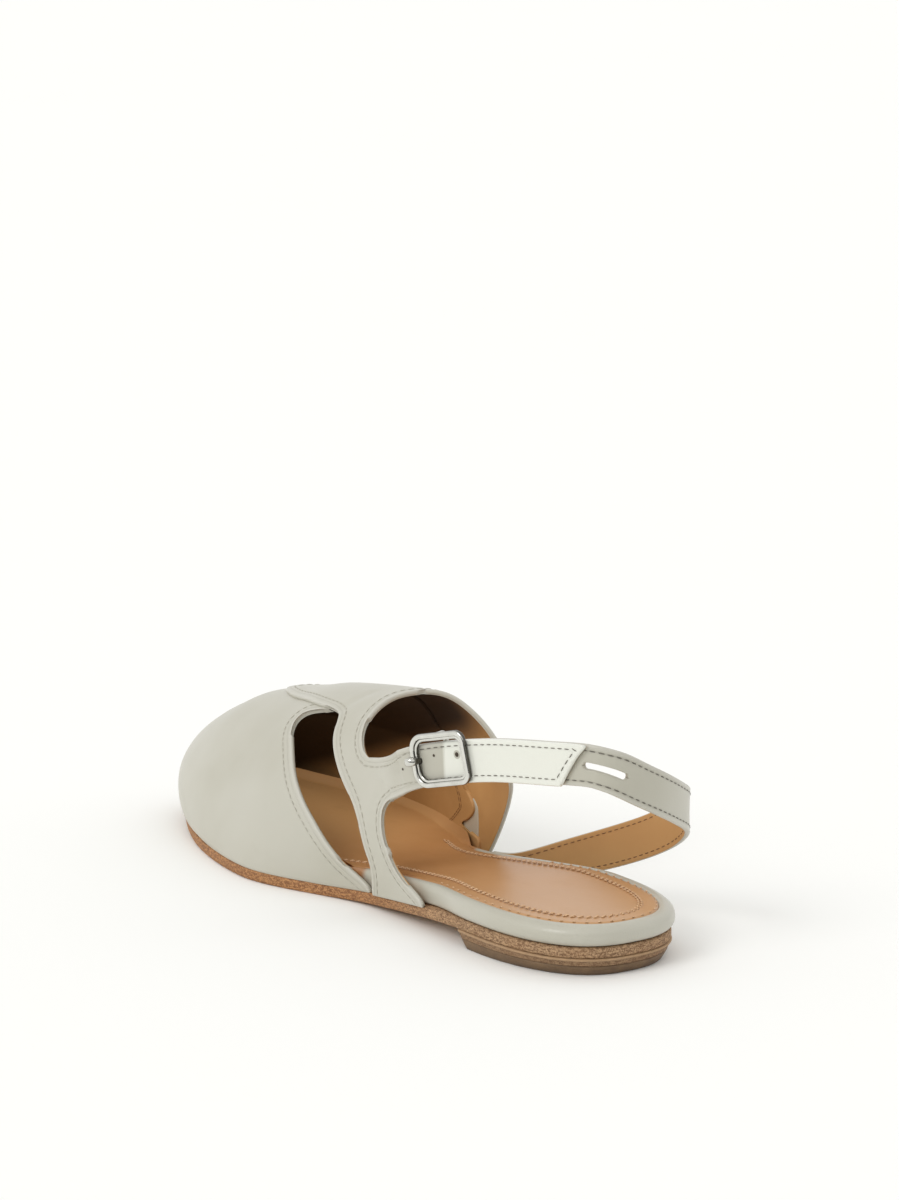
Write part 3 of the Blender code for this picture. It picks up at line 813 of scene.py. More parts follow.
def leather_wall(name, outer, inner, faces, materials, plain=(), roll=0.55, lined=()):
    """A skin with a lining: two matching sheets closed by a soft rounded edge.

    Plain holds the points of edges that are left out of the free edges it returns, and
    lined holds those whose edge is turned in lining leather.
    """
    outer, inner = np.asarray(outer), np.asarray(inner)
    count = len(outer)
    used = {(face[i - 1], face[i]) for face in faces for i in range(len(face))}
    border = [(a, b) for a, b in used if (b, a) not in used]
    onward, middle, leave = dict(border), (outer + inner) / 2, {}
    for face in faces:
        for a, b in zip(face, face[1:] + face[:1]):
            if onward.get(a) == b:
                centre = outer[list(face)].mean(0)
                for v in (a, b):
                    leave.setdefault(v, []).append(outer[v] - centre)
    back = {b: a for a, b in border}
    rim_rows = {}
    points = [*outer, *inner]
    parts = 6
    for v in onward:
        ahead = outer[onward[v]] - outer[back[v]]
        thick = np.linalg.norm(outer[v] - inner[v])
        normal = (outer[v] - inner[v]) / thick
        side = unit(np.cross(ahead, normal))
        if side.dot(sum(leave[v])) < 0:
            side = -side
        row = [v]
        for k in range(1, parts):
            angle = math.pi * k / parts
            row.append(len(points))
            reach = thick / 2 * (math.cos(angle) * normal + roll * math.sin(angle) * side)
            points.append(middle[v] + reach)
        rim_rows[v] = row + [v + count]
    faces_all = [list(face) for face in faces]
    faces_all += [[i + count for i in reversed(face)] for face in faces]
    kinds = [0] * len(faces) + [1] * len(faces)
    for a, b in border:
        for k in range(parts):
            low, high = rim_rows[a], rim_rows[b]
            faces_all.append([low[k], low[k + 1], high[k + 1], high[k]])
            kinds.append(0 if k < parts - 1 and a not in lined else 1)
    piece = new_piece(name, points, faces_all, materials, slots=kinds)
    free = [(outer[a], outer[b]) for a, b in border if not (a in plain and b in plain)]
    return piece, free


def contour(points, normals, faces, values):
    """Lines on a sheet where the values pass through zero, with the normals along them."""
    links, spots = {}, {}
    for face in faces:
        for corner in ((face[0], face[1], face[2]), (face[0], face[2], face[3])):
            hits = []
            for a, b in ((0, 1), (1, 2), (2, 0)):
                a, b = sorted((corner[a], corner[b]))
                if (values[a] < 0) != (values[b] < 0):
                    t = values[a] / (values[a] - values[b])
                    spots[(a, b)] = (
                        points[a] + (points[b] - points[a]) * t,
                        normals[a] + (normals[b] - normals[a]) * t,
                    )
                    hits.append((a, b))
            if len(hits) == 2:
                links.setdefault(hits[0], []).append(hits[1])
                links.setdefault(hits[1], []).append(hits[0])
    lines = []
    while links:
        start = next((key for key, near in links.items() if len(near) == 1), next(iter(links)))
        line, key = [], start
        while key is not None:
            line.append(spots[key])
            near = links.pop(key, [])
            key = next((other for other in near if other in links), None)
        if len(line) > 8:
            lines.append((np.array([spot for spot, _ in line]), np.array([way for _, way in line])))
    return lines


def stitch_spots(lines, pitch):
    """Stitches at an even pitch along contours, each with its direction and normal."""
    spots = []
    for line, ways in lines:
        middle, ahead, share = even_spots(line, pitch)
        for m, d, s in zip(middle, ahead, share):
            spots.append((m, d, unit(ways[min(int(s), len(ways) - 1)])))
    return spots


def mark_edges(piece, free, seams):
    """Keep each point's distance in millimetres from the free edges and from the seams."""
    add_mark(piece, "rim", nearest(points_of(piece), free))
    add_mark(piece, "seam", nearest(points_of(piece), [line for line, _ in seams]))


def paint_seamed(spot):
    """The pearl leather where it is stitched: a channel at the seam and a fold line, both darkened as
    painted shade, and a painted highlight along the folded edge.

    The billet is painted bright from the buckle to its tip, a painted highlight, and is glossier
    there; a mark on the panel holds it.
    """
    links = paint_pearl(spot)
    edge = mark(spot, "rim")
    grain = noise(spot, 1500.0, 3.0, 0.65)
    wrinkle = noise(spot, 210.0, 3.0, 0.6, (1.0, 0.45, 1.4))
    channel = mark(spot, "seam").band(0.0, 0.50)
    fold = edge.band(1.45, 0.30)
    height = grain * 0.45 + wrinkle * 0.5 - channel * 1.4 - fold * 1.1
    # Painted highlight: the leather is lighter along the folded edge.
    painted_edge_highlight = edge.step(0.1, 1.2, 1.0, 0.0)
    # Painted shade: the stitch channel and the fold line are darkened.
    colour = (channel * 0.16).blend(links["Base_Color"], (0.300, 0.275, 0.215))
    colour = (fold * 0.16).blend(colour, (0.300, 0.280, 0.225))
    colour = (painted_edge_highlight * 0.40).blend(colour, (0.620, 0.600, 0.540))
    # Painted highlight on the billet: a paler colour there, with less roughness and more coat.
    painted_highlight_gloss = mark(spot, "painted_highlight_gloss")
    links["Base_Color"] = (painted_highlight_gloss * 0.80).blend(colour, (0.840, 0.850, 0.770))
    links["Roughness"] = (links["Roughness"] + 0.10) * (1.0 - painted_highlight_gloss * 0.5)
    links["Coat_Weight"] = painted_highlight_gloss * 0.5 + 0.22
    links["Normal"] = bump(spot, height, 0.00009, 0.8)
    return links


def paint_lining(spot):
    """Tan lining leather, lighter on the sling, painted near black deep inside the shoe as painted shade.
    """
    grain = noise(spot, 1100.0, 4.0, 0.65)
    cloud = noise(spot, 35.0, 4.0, 0.6)
    _, along, high = spot.parts()
    deep = (high + (along - 0.110) * 0.35).step(0.035, 0.050) * along.step(0.068, 0.095)
    sling_side = along.step(0.066, 0.060)
    colour = cloud.step(0.3, 0.72).blend((0.475, 0.258, 0.096), (0.545, 0.310, 0.126))
    colour = (sling_side * 0.6).blend(colour, (0.670, 0.390, 0.160))
    # Painted shade: deep inside the shoe the lining is painted near black.
    colour = (deep * 0.97).blend(colour, (0.012, 0.005, 0.002))
    return {
        "Base_Color": colour,
        "Roughness": cloud * 0.15 + 0.52 + deep * 0.30,
        "Normal": bump(spot, grain * 0.7 + cloud * 0.3, 0.00010, 0.8),
    }


pearl_seamed = finish_material("pearl_leather_stitched", paint_seamed, **PEARL_LOOK)
lining = finish_material("tan_lining_leather", paint_lining)
pearl_thread = finish_material("pearl_thread", thread_paint((0.50, 0.480, 0.400), (0.41, 0.390, 0.320)))


def eased(rows, turn, soft=0.007):
    """A table's curve with its corners rounded off, as scissors and a fold round them."""
    offsets = np.linspace(-2, 2, 17)
    weights = np.exp(-(offsets**2))
    turn = np.asarray(turn, float)
    near = np.abs(turn[..., None] + offsets * soft)
    near = np.where(near > 1, 2 - near, near)
    return (through(rows, near) * weights).sum(-1) / weights.sum()


def vamp_rear(turn):
    turn = np.asarray(turn, float)
    inner = ease(0.90, 0.93, turn)
    return eased(VAMP_REAR, turn, 0.010) * (1 - inner) + eased(VAMP_REAR, turn, 0.004) * inner


FOLD_LEVEL = 3.5
vamp_turns = spread_turns(190, vamp_rear, flat(0.74))
vamp_columns = (1 - np.cos(np.linspace(0, math.pi, 110))) / 2
turn_grid = np.repeat(vamp_turns[:, None], len(vamp_columns), 1)
rear_grid = vamp_rear(vamp_turns)[:, None]
along_grid = rear_grid + (1 - rear_grid) * vamp_columns[None, :]
vamp_outer = last_point(turn_grid, along_grid, WALL).reshape(-1, 3)
vamp_inner = last_point(turn_grid, along_grid, 0.0).reshape(-1, 3)
vamp_faces = grid(len(vamp_turns), len(vamp_columns))
wide = len(vamp_columns)
feather_points = set(range(wide)) | set(range((len(vamp_turns) - 1) * wide, len(vamp_turns) * wide))
feather_points |= {row * wide + wide - 1 for row in range(len(vamp_turns))}
turned_in = {row * wide for row, turn in enumerate(vamp_turns) if turn > 0.40}
vamp, vamp_free = leather_wall(
    "vamp", vamp_outer, vamp_inner, vamp_faces, [pearl_seamed, lining], feather_points, lined=turned_in
)
rim = nearest(vamp_outer, vamp_free)
vamp_seams = contour(vamp_outer, vamp_outer - vamp_inner, vamp_faces, rim - FOLD_LEVEL)
mark_edges(vamp, vamp_free, vamp_seams)
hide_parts("upper")
stitches = stitch_spots(vamp_seams, 0.0027)
vamp_spots = [spot for spot in stitches if spot[0][0] < 0.020 or spot[0][2] > 0.022]
vamp_threads = threads("vamp_stitching", vamp_spots, 0.0022, 0.00034, 0.00013, pearl_thread)


# The lining's seam: two curved rows of dark tan thread on the inner side of the vamp's
# lining, where its heel end is joined on. They follow the free edge some way in.
LINING_SEAM = [
    (0.845, 0.545), (0.860, 0.535), (0.880, 0.524), (0.903, 0.520), (0.930, 0.540), (0.950, 0.562),
]
dark_tan = thread_paint((0.30, 0.150, 0.060), (0.13, 0.060, 0.025))
dark_tan_thread = finish_material("dark_tan_thread", dark_tan)
lining_spots = []
for behind in (0.0, 0.0060):
    turns = np.linspace(0.845, 0.952, 80)
    alongs = through(LINING_SEAM, turns) + behind
    line, skin = last_point(turns, alongs, -0.00006), last_point(turns, alongs, -0.001)
    middle, ahead, _ = even_spots(line, 0.0022)
    for m, d in zip(middle, ahead):
        near = np.argmin(np.linalg.norm(line - m, axis=1))
        lining_spots.append((m, d, unit(skin[near] - line[near])))
lining_threads = threads("lining_seam", lining_spots, 0.0020, 0.00022, 0.00008, dark_tan_thread)


# The vamp's underlay: the pearl skin goes on under the instep panel on the inner side.
# It is pared thin, and shows from inside through the small gap between the linings.
gap_rows, gap_columns = 24, 12
gap_turns = np.linspace(0.885, 0.985, gap_rows)[:, None]
gap_front = through(VAMP_REAR, gap_turns) + 0.008
gap_rear = through(PANEL_FRONT, gap_turns) - 0.001
gap_along = gap_front + (gap_rear - gap_front) * np.linspace(0, 1, gap_columns)[None, :]
skin = last_point(gap_turns, gap_along, WALL - 0.0002).reshape(-1, 3)
flesh = last_point(gap_turns, gap_along, WALL - 0.0008).reshape(-1, 3)
gap_faces = grid(gap_rows, gap_columns)
underlay, _ = leather_wall("vamp_underlay", skin, flesh, gap_faces, [pearl_plain, pearl_plain])


# The instep panel: one skin that crosses the instep, comes down both sides as straps
# and runs back on the outer side as the billet. Folded, lined and stitched all round.
PANEL_STEP = 0.0012
PANEL_WALL = 0.0018
STRAP_WIDTH = 0.0127
STRAP_THICK = 0.0018
STRAP_RISE = 0.0660
TIP_SLANT = 0.0095
TIP_PLACE = 0.0895
BRANCH_LENGTH = 0.0105
BRANCH_TURNS = (0.188, 0.2525)
PANEL_REAR = [
    (0.000, 0.285), (0.034, 0.327), (0.053, 0.347), (0.083, 0.364),
    (0.121, 0.380), (0.155, 0.385), (0.175, 0.380), (0.188, 0.370),
    (0.215, 0.402), (0.240, 0.432), (0.2525, 0.446), (0.262, 0.458),
    (0.279, 0.470), (0.300, 0.481), (0.341, 0.493), (0.387, 0.498),
    (0.420, 0.499), (0.450, 0.497), (0.490, 0.488), (0.558, 0.466),
    (0.634, 0.444), (0.700, 0.421), (0.760, 0.404), (0.800, 0.397),
    (0.837, 0.395), (0.870, 0.402), (0.903, 0.413), (0.938, 0.427),
    (0.978, 0.447), (1.000, 0.458),
]
STRAP_COURSE = [
    (-0.935, 0.372, 0.700, 1.05),
    (-0.895, 0.318, 0.798, 1.00),
    (-0.795, 0.269, 0.852, 1.02),
    (-0.705, 0.223, 0.893, 1.00),
    (-0.625, 0.168, 0.932, 1.00),
    (-0.540, 0.083, 0.977, 1.00),
    (-0.450, 0.036, 0.998, 1.00),
    (-0.330, 0.016, 0.985, 1.00),
    (-0.170, 0.008, 0.955, 1.00),
    (0.100, 0.008, 0.890, 1.00),
    (0.450, 0.017, 0.812, 1.00),
    (0.805, 0.037, 0.730, 1.00),
    (1.115, 0.066, 0.652, 1.00),
    (1.290, 0.113, 0.545, 1.00),
    (1.285, 0.160, 0.445, 1.00),
    (1.230, 0.215, 0.352, 1.00),
    (1.160, 0.262, 0.280, 0.97),
    (1.075, 0.305, 0.223, 0.86),
    (0.960, 0.341, 0.183, 0.66),
    (0.825, 0.372, 0.155, 0.46),
    (0.790, 0.398, 0.142, 0.36),
    (0.790, 0.424, 0.134, 0.30),
]


def spline(rows, samples=10):
    rows = [np.array(row, dtype=float) for row in rows]
    rows = [2 * rows[0] - rows[1]] + rows + [2 * rows[-1] - rows[-2]]
    line = []
    for a, b, c, d in zip(rows, rows[1:], rows[2:], rows[3:]):
        for t in np.arange(samples) / samples:
            bend = -a + 3 * b - 3 * c + d
            line.append(b + 0.5 * t * ((c - a) + t * ((2 * a - 5 * b + 4 * c - d) + t * bend)))
    return np.array(line + [rows[-2]])


course = spline(STRAP_COURSE)
for _ in range(16):
    course[1:-1] = (course[:-2] + 2 * course[1:-1] + course[2:]) / 4
course = np.stack(
    [course[:, 0] * HEEL_HALF_WIDTH, place(course[:, 1]), course[:, 2] * STRAP_RISE, course[:, 3]], 1
)
course[:, 3] *= STRAP_WIDTH
distance = run_of(course[:, :3])
strap_end = distance[-1]


def strap_frame(run):
    """Middle, run direction, upward and outward directions and width at a distance."""
    at = [np.interp(run, distance, course[:, k]) for k in range(4)]
    low = np.clip(run - STRAP_THICK, 0, strap_end)
    high = np.clip(run + STRAP_THICK, 0, strap_end)
    ahead = np.array([np.interp(high, distance, course[:, k]) for k in range(3)])
    ahead = unit(ahead - np.array([np.interp(low, distance, course[:, k]) for k in range(3)]))
    upward = unit(up - ahead * ahead[2])
    return np.array(at[:3]), ahead, upward, np.cross(ahead, upward), at[3]


def ribbon_point(run, height, out):
    middle, ahead, upward, outward, width = strap_frame(run)
    return middle + upward * (height * width) + outward * out


billet_out = STRAP_THICK + GAP


def panel_front(turn):
    turn = np.asarray(turn, float)
    high = ease(0.28, 0.33, turn)
    return eased(PANEL_FRONT, turn, 0.018) * (1 - high) + eased(PANEL_FRONT, turn) * high


def panel_rear(turn):
    turn = np.asarray(turn, float)
    near_tongue = ease(0.13, 0.17, turn) * (1 - ease(0.27, 0.30, turn))
    sharp, round_off = eased(PANEL_REAR, turn, 0.004), eased(PANEL_REAR, turn, 0.014)
    return round_off + (sharp - round_off) * near_tongue


panel_turns = spread_turns(230, panel_front, panel_rear)
low, high = BRANCH_TURNS
beyond = panel_turns[(panel_turns < low - 0.0015) | (panel_turns > high + 0.0006)]
panel_turns = np.sort(np.concatenate([beyond, np.linspace(low, high, 19)]))
branch_rows = [j for j, turn in enumerate(panel_turns) if low - 1e-9 <= turn <= high + 1e-9]
across = (1 - np.cos(np.linspace(0, math.pi, 60))) / 2
wide = len(across)
turn_grid = np.repeat(panel_turns[:, None], wide, 1)
front, rear = panel_front(panel_turns)[:, None], panel_rear(panel_turns)[:, None]
along_grid = front + (rear - front) * across[None, :]
sheets = []
entry, tongue = 12, 130
for out, skin in ((PANEL_STEP + WALL, 0.5), (PANEL_STEP + WALL - PANEL_WALL, -0.5)):
    sheet = last_point(turn_grid, along_grid, out)
    extra = []
    for j in branch_rows:
        turn = panel_turns[j]
        height = (turn - low) / (high - low) - 0.5
        off = billet_out + skin * PANEL_WALL
        root = sheet[j, -1]
        pull = root - sheet[j, -4]
        end = TIP_PLACE - TIP_SLANT * (0.5 - height)
        first = ribbon_point(BRANCH_LENGTH, height, off)
        arrive = ribbon_point(BRANCH_LENGTH * 1.2, height, off) - first
        reach = np.linalg.norm(first - root)
        leave = pull / np.linalg.norm(pull) * reach * (0.15 + 0.85 * ease(-0.5, 0.2, height))
        for i in range(1, tongue):
            t = i / entry
            if t < 1:
                point = root * ((1 + 2 * t) * (1 - t) ** 2) + leave * (t * (1 - t) ** 2)
                point = point + first * (t * t * (3 - 2 * t)) + arrive * (t * t * (t - 1))
            else:
                run = BRANCH_LENGTH + (end - BRANCH_LENGTH) * (i - entry) / (tongue - 1 - entry)
                point = ribbon_point(run, height, off)
            extra.append(point)
    sheets.append(np.concatenate([sheet.reshape(-1, 3), np.array(extra)]))
panel_outer, panel_inner = sheets
CREASE_DEPTH = 0.00045
CREASE_BREADTH = 2.6
share = np.linspace(0, 1, 12)
crease = last_point(0.365 + 0.075 * share, 0.562 - 0.012 * share, PANEL_STEP + WALL)
sink = CREASE_DEPTH * np.exp(-((nearest(panel_outer, [crease]) / CREASE_BREADTH) ** 2))
normals = panel_outer - panel_inner
normals = normals / np.linalg.norm(normals, axis=1)[:, None]
panel_outer = panel_outer - normals * sink[:, None]
band_count = len(panel_turns) * wide
panel_faces = grid(len(panel_turns), wide) + grid(len(branch_rows), tongue - 1, band_count)
for n in range(len(branch_rows) - 1):
    a = branch_rows[n] * wide + wide - 1
    b = branch_rows[n + 1] * wide + wide - 1
    start = band_count + n * (tongue - 1)
    panel_faces.append([a, start, start + tongue - 1, b])
feather_points = set(range(wide)) | set(range((len(panel_turns) - 1) * wide, band_count))
panel, panel_free = leather_wall(
    "instep_panel", panel_outer, panel_inner, panel_faces, [pearl_seamed, lining], feather_points
)
rim = nearest(panel_outer, panel_free)
PANEL_LEVEL = 2.9
level = np.full(len(panel_outer), PANEL_LEVEL)
for n in range(len(branch_rows)):
    start = band_count + n * (tongue - 1)
    near_edge = 1.9 - 0.8 * n / (len(branch_rows) - 1)
    closing = ease(0, entry * 2, np.arange(1, tongue))
    level[start : start + tongue - 1] = PANEL_LEVEL + (near_edge - PANEL_LEVEL) * closing
panel_seams = contour(panel_outer, panel_outer - panel_inner, panel_faces, rim - level)
mark_edges(panel, panel_free, panel_seams)
across, back, high = points_of(panel).T
bar_edge = 0.0405 + (high - 0.056) * 0.05
# The billet's painted highlight and its glossier finish, from the buckle to the tip.
billet_highlight_and_gloss = ease(0.0, 0.0012, bar_edge - back) * (high > 0.044) * (across < -0.008)
add_mark(panel, "painted_highlight_gloss", billet_highlight_and_gloss)
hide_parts("upper")
grey_thread = finish_material("grey_thread", thread_paint((0.26, 0.24, 0.20), (0.085, 0.075, 0.062)))
SEAM_PITCH = 0.0029
on_billet, on_panel = [], []
for spot in stitch_spots(panel_seams, SEAM_PITCH):
    billet_side = spot[0][2] > 0.045 and spot[0][1] < 0.050
    (on_billet if billet_side else on_panel).append(spot)
panel_threads = threads("panel_stitching", on_panel, 0.0024, 0.00034, 0.00013, pearl_thread)
billet_threads = threads("billet_stitching", on_billet, 0.0021, 0.00034, 0.00014, grey_thread)


# The sling: a long strap round the heel, pearl leather outside and tan inside.
# It is stitched along both edges and has one long buttonhole slot behind the buckle.
SLOT_PLACE = 0.0955
SLOT_LENGTH = 0.0150
SLOT_WIDTH = 0.0027
BUCKLE_PLACE = 0.0292
BAR_WIRE = 0.0009
sling_start = BUCKLE_PLACE + BAR_WIRE + GAP
slot_half = SLOT_LENGTH / 2
slot_runs = SLOT_PLACE - slot_half * np.cos(np.linspace(0, math.pi, 41))
before = np.linspace(sling_start, slot_runs[0], 80)[:-1]
after = np.linspace(slot_runs[-1], strap_end, 170)[1:]
runs = np.concatenate([before, slot_runs, after])
gaps = np.clip(slot_half - np.abs(runs - SLOT_PLACE), 0, SLOT_WIDTH / 2) / (SLOT_WIDTH / 2)
gaps = SLOT_WIDTH / 2 * np.sqrt(np.maximum(1 - (1 - gaps) ** 2, 0))
steps = 11
sling_outer, sling_inner, sling_faces = [], [], []
for half in (-1, 1):
    first = len(sling_outer)
    for run, gap in zip(runs, gaps):
        width = strap_frame(run)[4]
        shares = np.linspace(half * gap / width, half * 0.5, steps)
        for share in shares if half > 0 else shares[::-1]:
            sling_outer.append(ribbon_point(run, share, STRAP_THICK / 2))
            sling_inner.append(ribbon_point(run, share, -STRAP_THICK / 2))
    sling_faces += grid(len(runs), steps, first)
twins = {}
for i, gap in enumerate(gaps):
    if gap < 1e-7:
        twins[len(runs) * steps + i * steps] = i * steps + steps - 1
sling_faces = [[twins.get(i, i) for i in face] for face in sling_faces]
sling_outer, sling_inner = np.array(sling_outer), np.array(sling_inner)
sling, _ = leather_wall("sling", sling_outer, sling_inner, sling_faces, [pearl_seamed, lining], roll=0.4)
edges = [np.array([ribbon_point(run, share, STRAP_THICK / 2) for run in runs]) for share in (-0.5, 0.5)]
rim, inner_rim = nearest(sling_outer, edges), nearest(sling_inner, edges)
sling_normals = sling_outer - sling_inner
sling_seams, inner_seams = [], []
half_way = len(sling_faces) // 2
for half in (sling_faces[:half_way], sling_faces[half_way:]):
    sling_seams += contour(sling_outer, sling_normals, half, rim - 1.5)
    inner_seams += contour(sling_inner, -sling_normals, half, inner_rim - 2.2)
mark_edges(sling, edges, sling_seams)
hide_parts("sling_strap")
sling_spots, inner_spots = stitch_spots(sling_seams, SEAM_PITCH), stitch_spots(inner_seams, SEAM_PITCH)
sling_threads = threads("sling_stitching", sling_spots, 0.0021, 0.00034, 0.00014, grey_thread)
inner_threads = threads("sling_lining_stitching", inner_spots, 0.0021, 0.00034, 0.00014, dark_tan_thread)


# The buckle: a cast and polished silver frame with its bar under the billet.
# The pin turns on the bar, comes up through a punched hole and rests on the frame.
BUCKLE_LENGTH = 0.0236
BUCKLE_HEIGHT = 0.0174
STRAP_CORNER = 0.0028
PIN_CORNER = 0.0044
BUCKLE_RISE = 0.0015
FRAME_WIRE = 0.0009
BEVEL_WIRE = 0.00055
BEVEL_INSET = 0.00115
BEVEL_SINK = 0.0002
PRONG_WIRE = 0.0007
HOLE_PLACE = 0.0094
PIN_RISE = 0.0018


def paint_silver(spot):
    """Polished silver plate, painted near black low down on its sides as painted shade and dark reflection.
    """
    haze = noise(spot, 260.0, 4.0, 0.6)
    hair = noise(spot, 1800.0, 2.0, 0.6, (0.3, 0.3, 2.0))
    # Painted shade: the low sides are painted near black in place of shade and dark reflections.
    painted_dark_sides = mark(spot, "low")
    colour = haze.step(0.3, 0.8).blend((0.72, 0.715, 0.67), (0.60, 0.595, 0.55))
    return {
        "Roughness": haze.step(0.45, 0.8, 0.07, 0.18),
        "Base_Color": (painted_dark_sides * 0.92).blend(colour, (0.055, 0.050, 0.042)),
        "Normal": bump(spot, hair, 0.00002, 0.4),
    }


silver = finish_material("polished_silver", paint_silver, Metallic=1.0)


def tube(name, line, radii, material, closed=False, sides=20, square=1.0, top=(0.3, 0.2, 1.0)):
    """A bar along a line; radii may change, and square under 1 flattens its four sides."""
    line = np.asarray(line, float)
    count = len(line)
    radii = np.broadcast_to(np.asarray(radii, float), (count,))
    points, normal = [], None
    for i in range(count):
        before = line[i - 1] if closed or i else line[i]
        after = line[(i + 1) % count] if closed or i < count - 1 else line[i]
        ahead = unit(after - before)
        if normal is None:
            normal = np.cross(ahead, top)
        normal = unit(normal - ahead * normal.dot(ahead))
        other = np.cross(ahead, normal)
        for k in range(sides):
            angle = 2 * math.pi * k / sides
            wide, tall = math.cos(angle), math.sin(angle)
            wide = math.copysign(abs(wide) ** square, wide)
            tall = math.copysign(abs(tall) ** square, tall)
            points.append(line[i] + radii[i] * (wide * normal + tall * other))
    faces = ring_faces(count, sides)
    if closed:
        last = (count - 1) * sides
        faces += [(last + k, last + (k + 1) % sides, (k + 1) % sides, k) for k in range(sides)]
    else:
        faces.append(tuple(range(sides)))
        faces.append(tuple(count * sides - 1 - k for k in range(sides)))
    return new_piece(name, points, faces, [material])


def rounded(line, radius, parts=6):
    """Radii and points with a round cap at each end of a line."""
    line = np.asarray(line, float)
    start, end = unit(line[0] - line[1]), unit(line[-1] - line[-2])
    angles = np.linspace(math.pi / 2 * 0.98, 0, parts)[:-1]
    head = [line[0] + start * radius * math.sin(a) for a in angles]
    tail = [line[-1] + end * radius * math.sin(a) for a in angles[::-1]]
    sizes = [radius * math.cos(a) for a in angles]
    return np.array([*head, *line, *tail]), np.array([*sizes, *[radius] * len(line), *sizes[::-1]])


seat, ahead, upward, outward, width = strap_frame(BUCKLE_PLACE)
billet = seat + outward * billet_out
over = STRAP_THICK / 2 + GAP + FRAME_WIRE


def on_buckle(flat_way, rise, out):
    return billet + ahead * flat_way + upward * rise + outward * out


half_length = BUCKLE_LENGTH / 2 - FRAME_WIRE
half_height = BUCKLE_HEIGHT / 2 - FRAME_WIRE


def frame_ring(inset, out):
    """A rounded oblong in the frame's plane, tighter at the corners on the strap's side."""
    line = []
    for quarter in range(4):
        flip_x = 1 if quarter in (0, 3) else -1
        flip_y = 1 if quarter in (0, 1) else -1
        corner = (STRAP_CORNER if flip_x > 0 else PIN_CORNER) - inset * 0.5
        for k in range(17):
            angle = math.pi / 2 * (quarter + k / 16)
            flat_way = flip_x * (half_length - inset - corner) + corner * math.cos(angle)
            rise = flip_y * (half_height - inset - corner) + corner * math.sin(angle)
            line.append(on_buckle(flat_way, rise + BUCKLE_RISE, out))
    return line


frame_parts = [
    ("buckle_frame", 0.0, FRAME_WIRE, over),
    ("buckle_bevel", BEVEL_INSET, BEVEL_WIRE, over - BEVEL_SINK),
]
for name, inset, wire, out in frame_parts:
    ring = frame_ring(inset, out)
    loop = tube(name, ring, wire, silver, closed=True, sides=28, square=0.62, top=outward)
    height_on = (points_of(loop) - (billet + outward * out)) @ outward / wire
    # Painted shade: the frame's low sides, near the billet, are marked to be painted dark.
    add_mark(loop, "low", 1 - ease(0.45, 0.92, height_on))
    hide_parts("buckle")
bar_drop = -(STRAP_THICK / 2 + GAP + BAR_WIRE)
bar_foot = -(width / 2 + GAP + BAR_WIRE)
bar_head = half_height + BUCKLE_RISE
frame_foot = BUCKLE_RISE - half_height
bar_rows = [
    (frame_foot + 0.0002, over * 0.9),
    (frame_foot + 0.0001, over * 0.3),
    (frame_foot + 0.0001, bar_drop + BAR_WIRE),
    (frame_foot + BAR_WIRE, bar_drop),
    (bar_foot * 0.5, bar_drop),
    (bar_head * 0.5, bar_drop),
    (bar_head - BAR_WIRE, bar_drop),
    (bar_head, bar_drop + BAR_WIRE),
    (bar_head, over * 0.3),
    (bar_head, over),
]
bar_line = np.array([on_buckle(0, rise, out) for rise, out in spline(bar_rows, 5)])
bar = tube("buckle_bar", bar_line, BAR_WIRE, silver, sides=14)
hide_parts("buckle")
hook = over + FRAME_WIRE + GAP + PRONG_WIRE
prong_rows = [
    (-(BAR_WIRE + GAP + PRONG_WIRE), bar_drop),
    (-0.6 * HOLE_PLACE, bar_drop),
    (-0.9 * HOLE_PLACE, 0.75 * bar_drop),
    (-HOLE_PLACE, 0.0),
    (-HOLE_PLACE, over),
    (-HOLE_PLACE - FRAME_WIRE, hook),
    (-half_length - FRAME_WIRE, hook),
    (-half_length - 2 * FRAME_WIRE, over),
]
prong_line = np.array([on_buckle(way, PIN_RISE, out) for way, out in spline(prong_rows, 8)])
pin_line, pin_radii = rounded(prong_line, PRONG_WIRE)
pin_radii = pin_radii * (1 + 0.95 * ease(0.50, 0.70, np.linspace(0, 1, len(pin_line))))
prong = tube("buckle_pin", pin_line, pin_radii, silver, sides=20, square=0.7, top=outward)
# Painted shade: the pin is marked to be painted dark except along the top of its hooked end.
tip_rise = (points_of(prong) - billet) @ outward - hook
add_mark(prong, "low", 1 - ease(-0.0004, 0.0005, tip_rise))
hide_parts("prong")


# The punched holes of the billet: small round holes with a pressed lip, each drawn as a dark disc of
# painted shade.
# The pin stands in one of them, and spare ones lie before and behind it.
def paint_hole(spot):
    # Painted shade: the hole's colour is near black with a fine speckle.
    shade_speckle = noise(spot, 2500.0, 2.0, 0.5)
    return {"Base_Color": shade_speckle.blend((0.030, 0.022, 0.015), (0.085, 0.065, 0.045))}


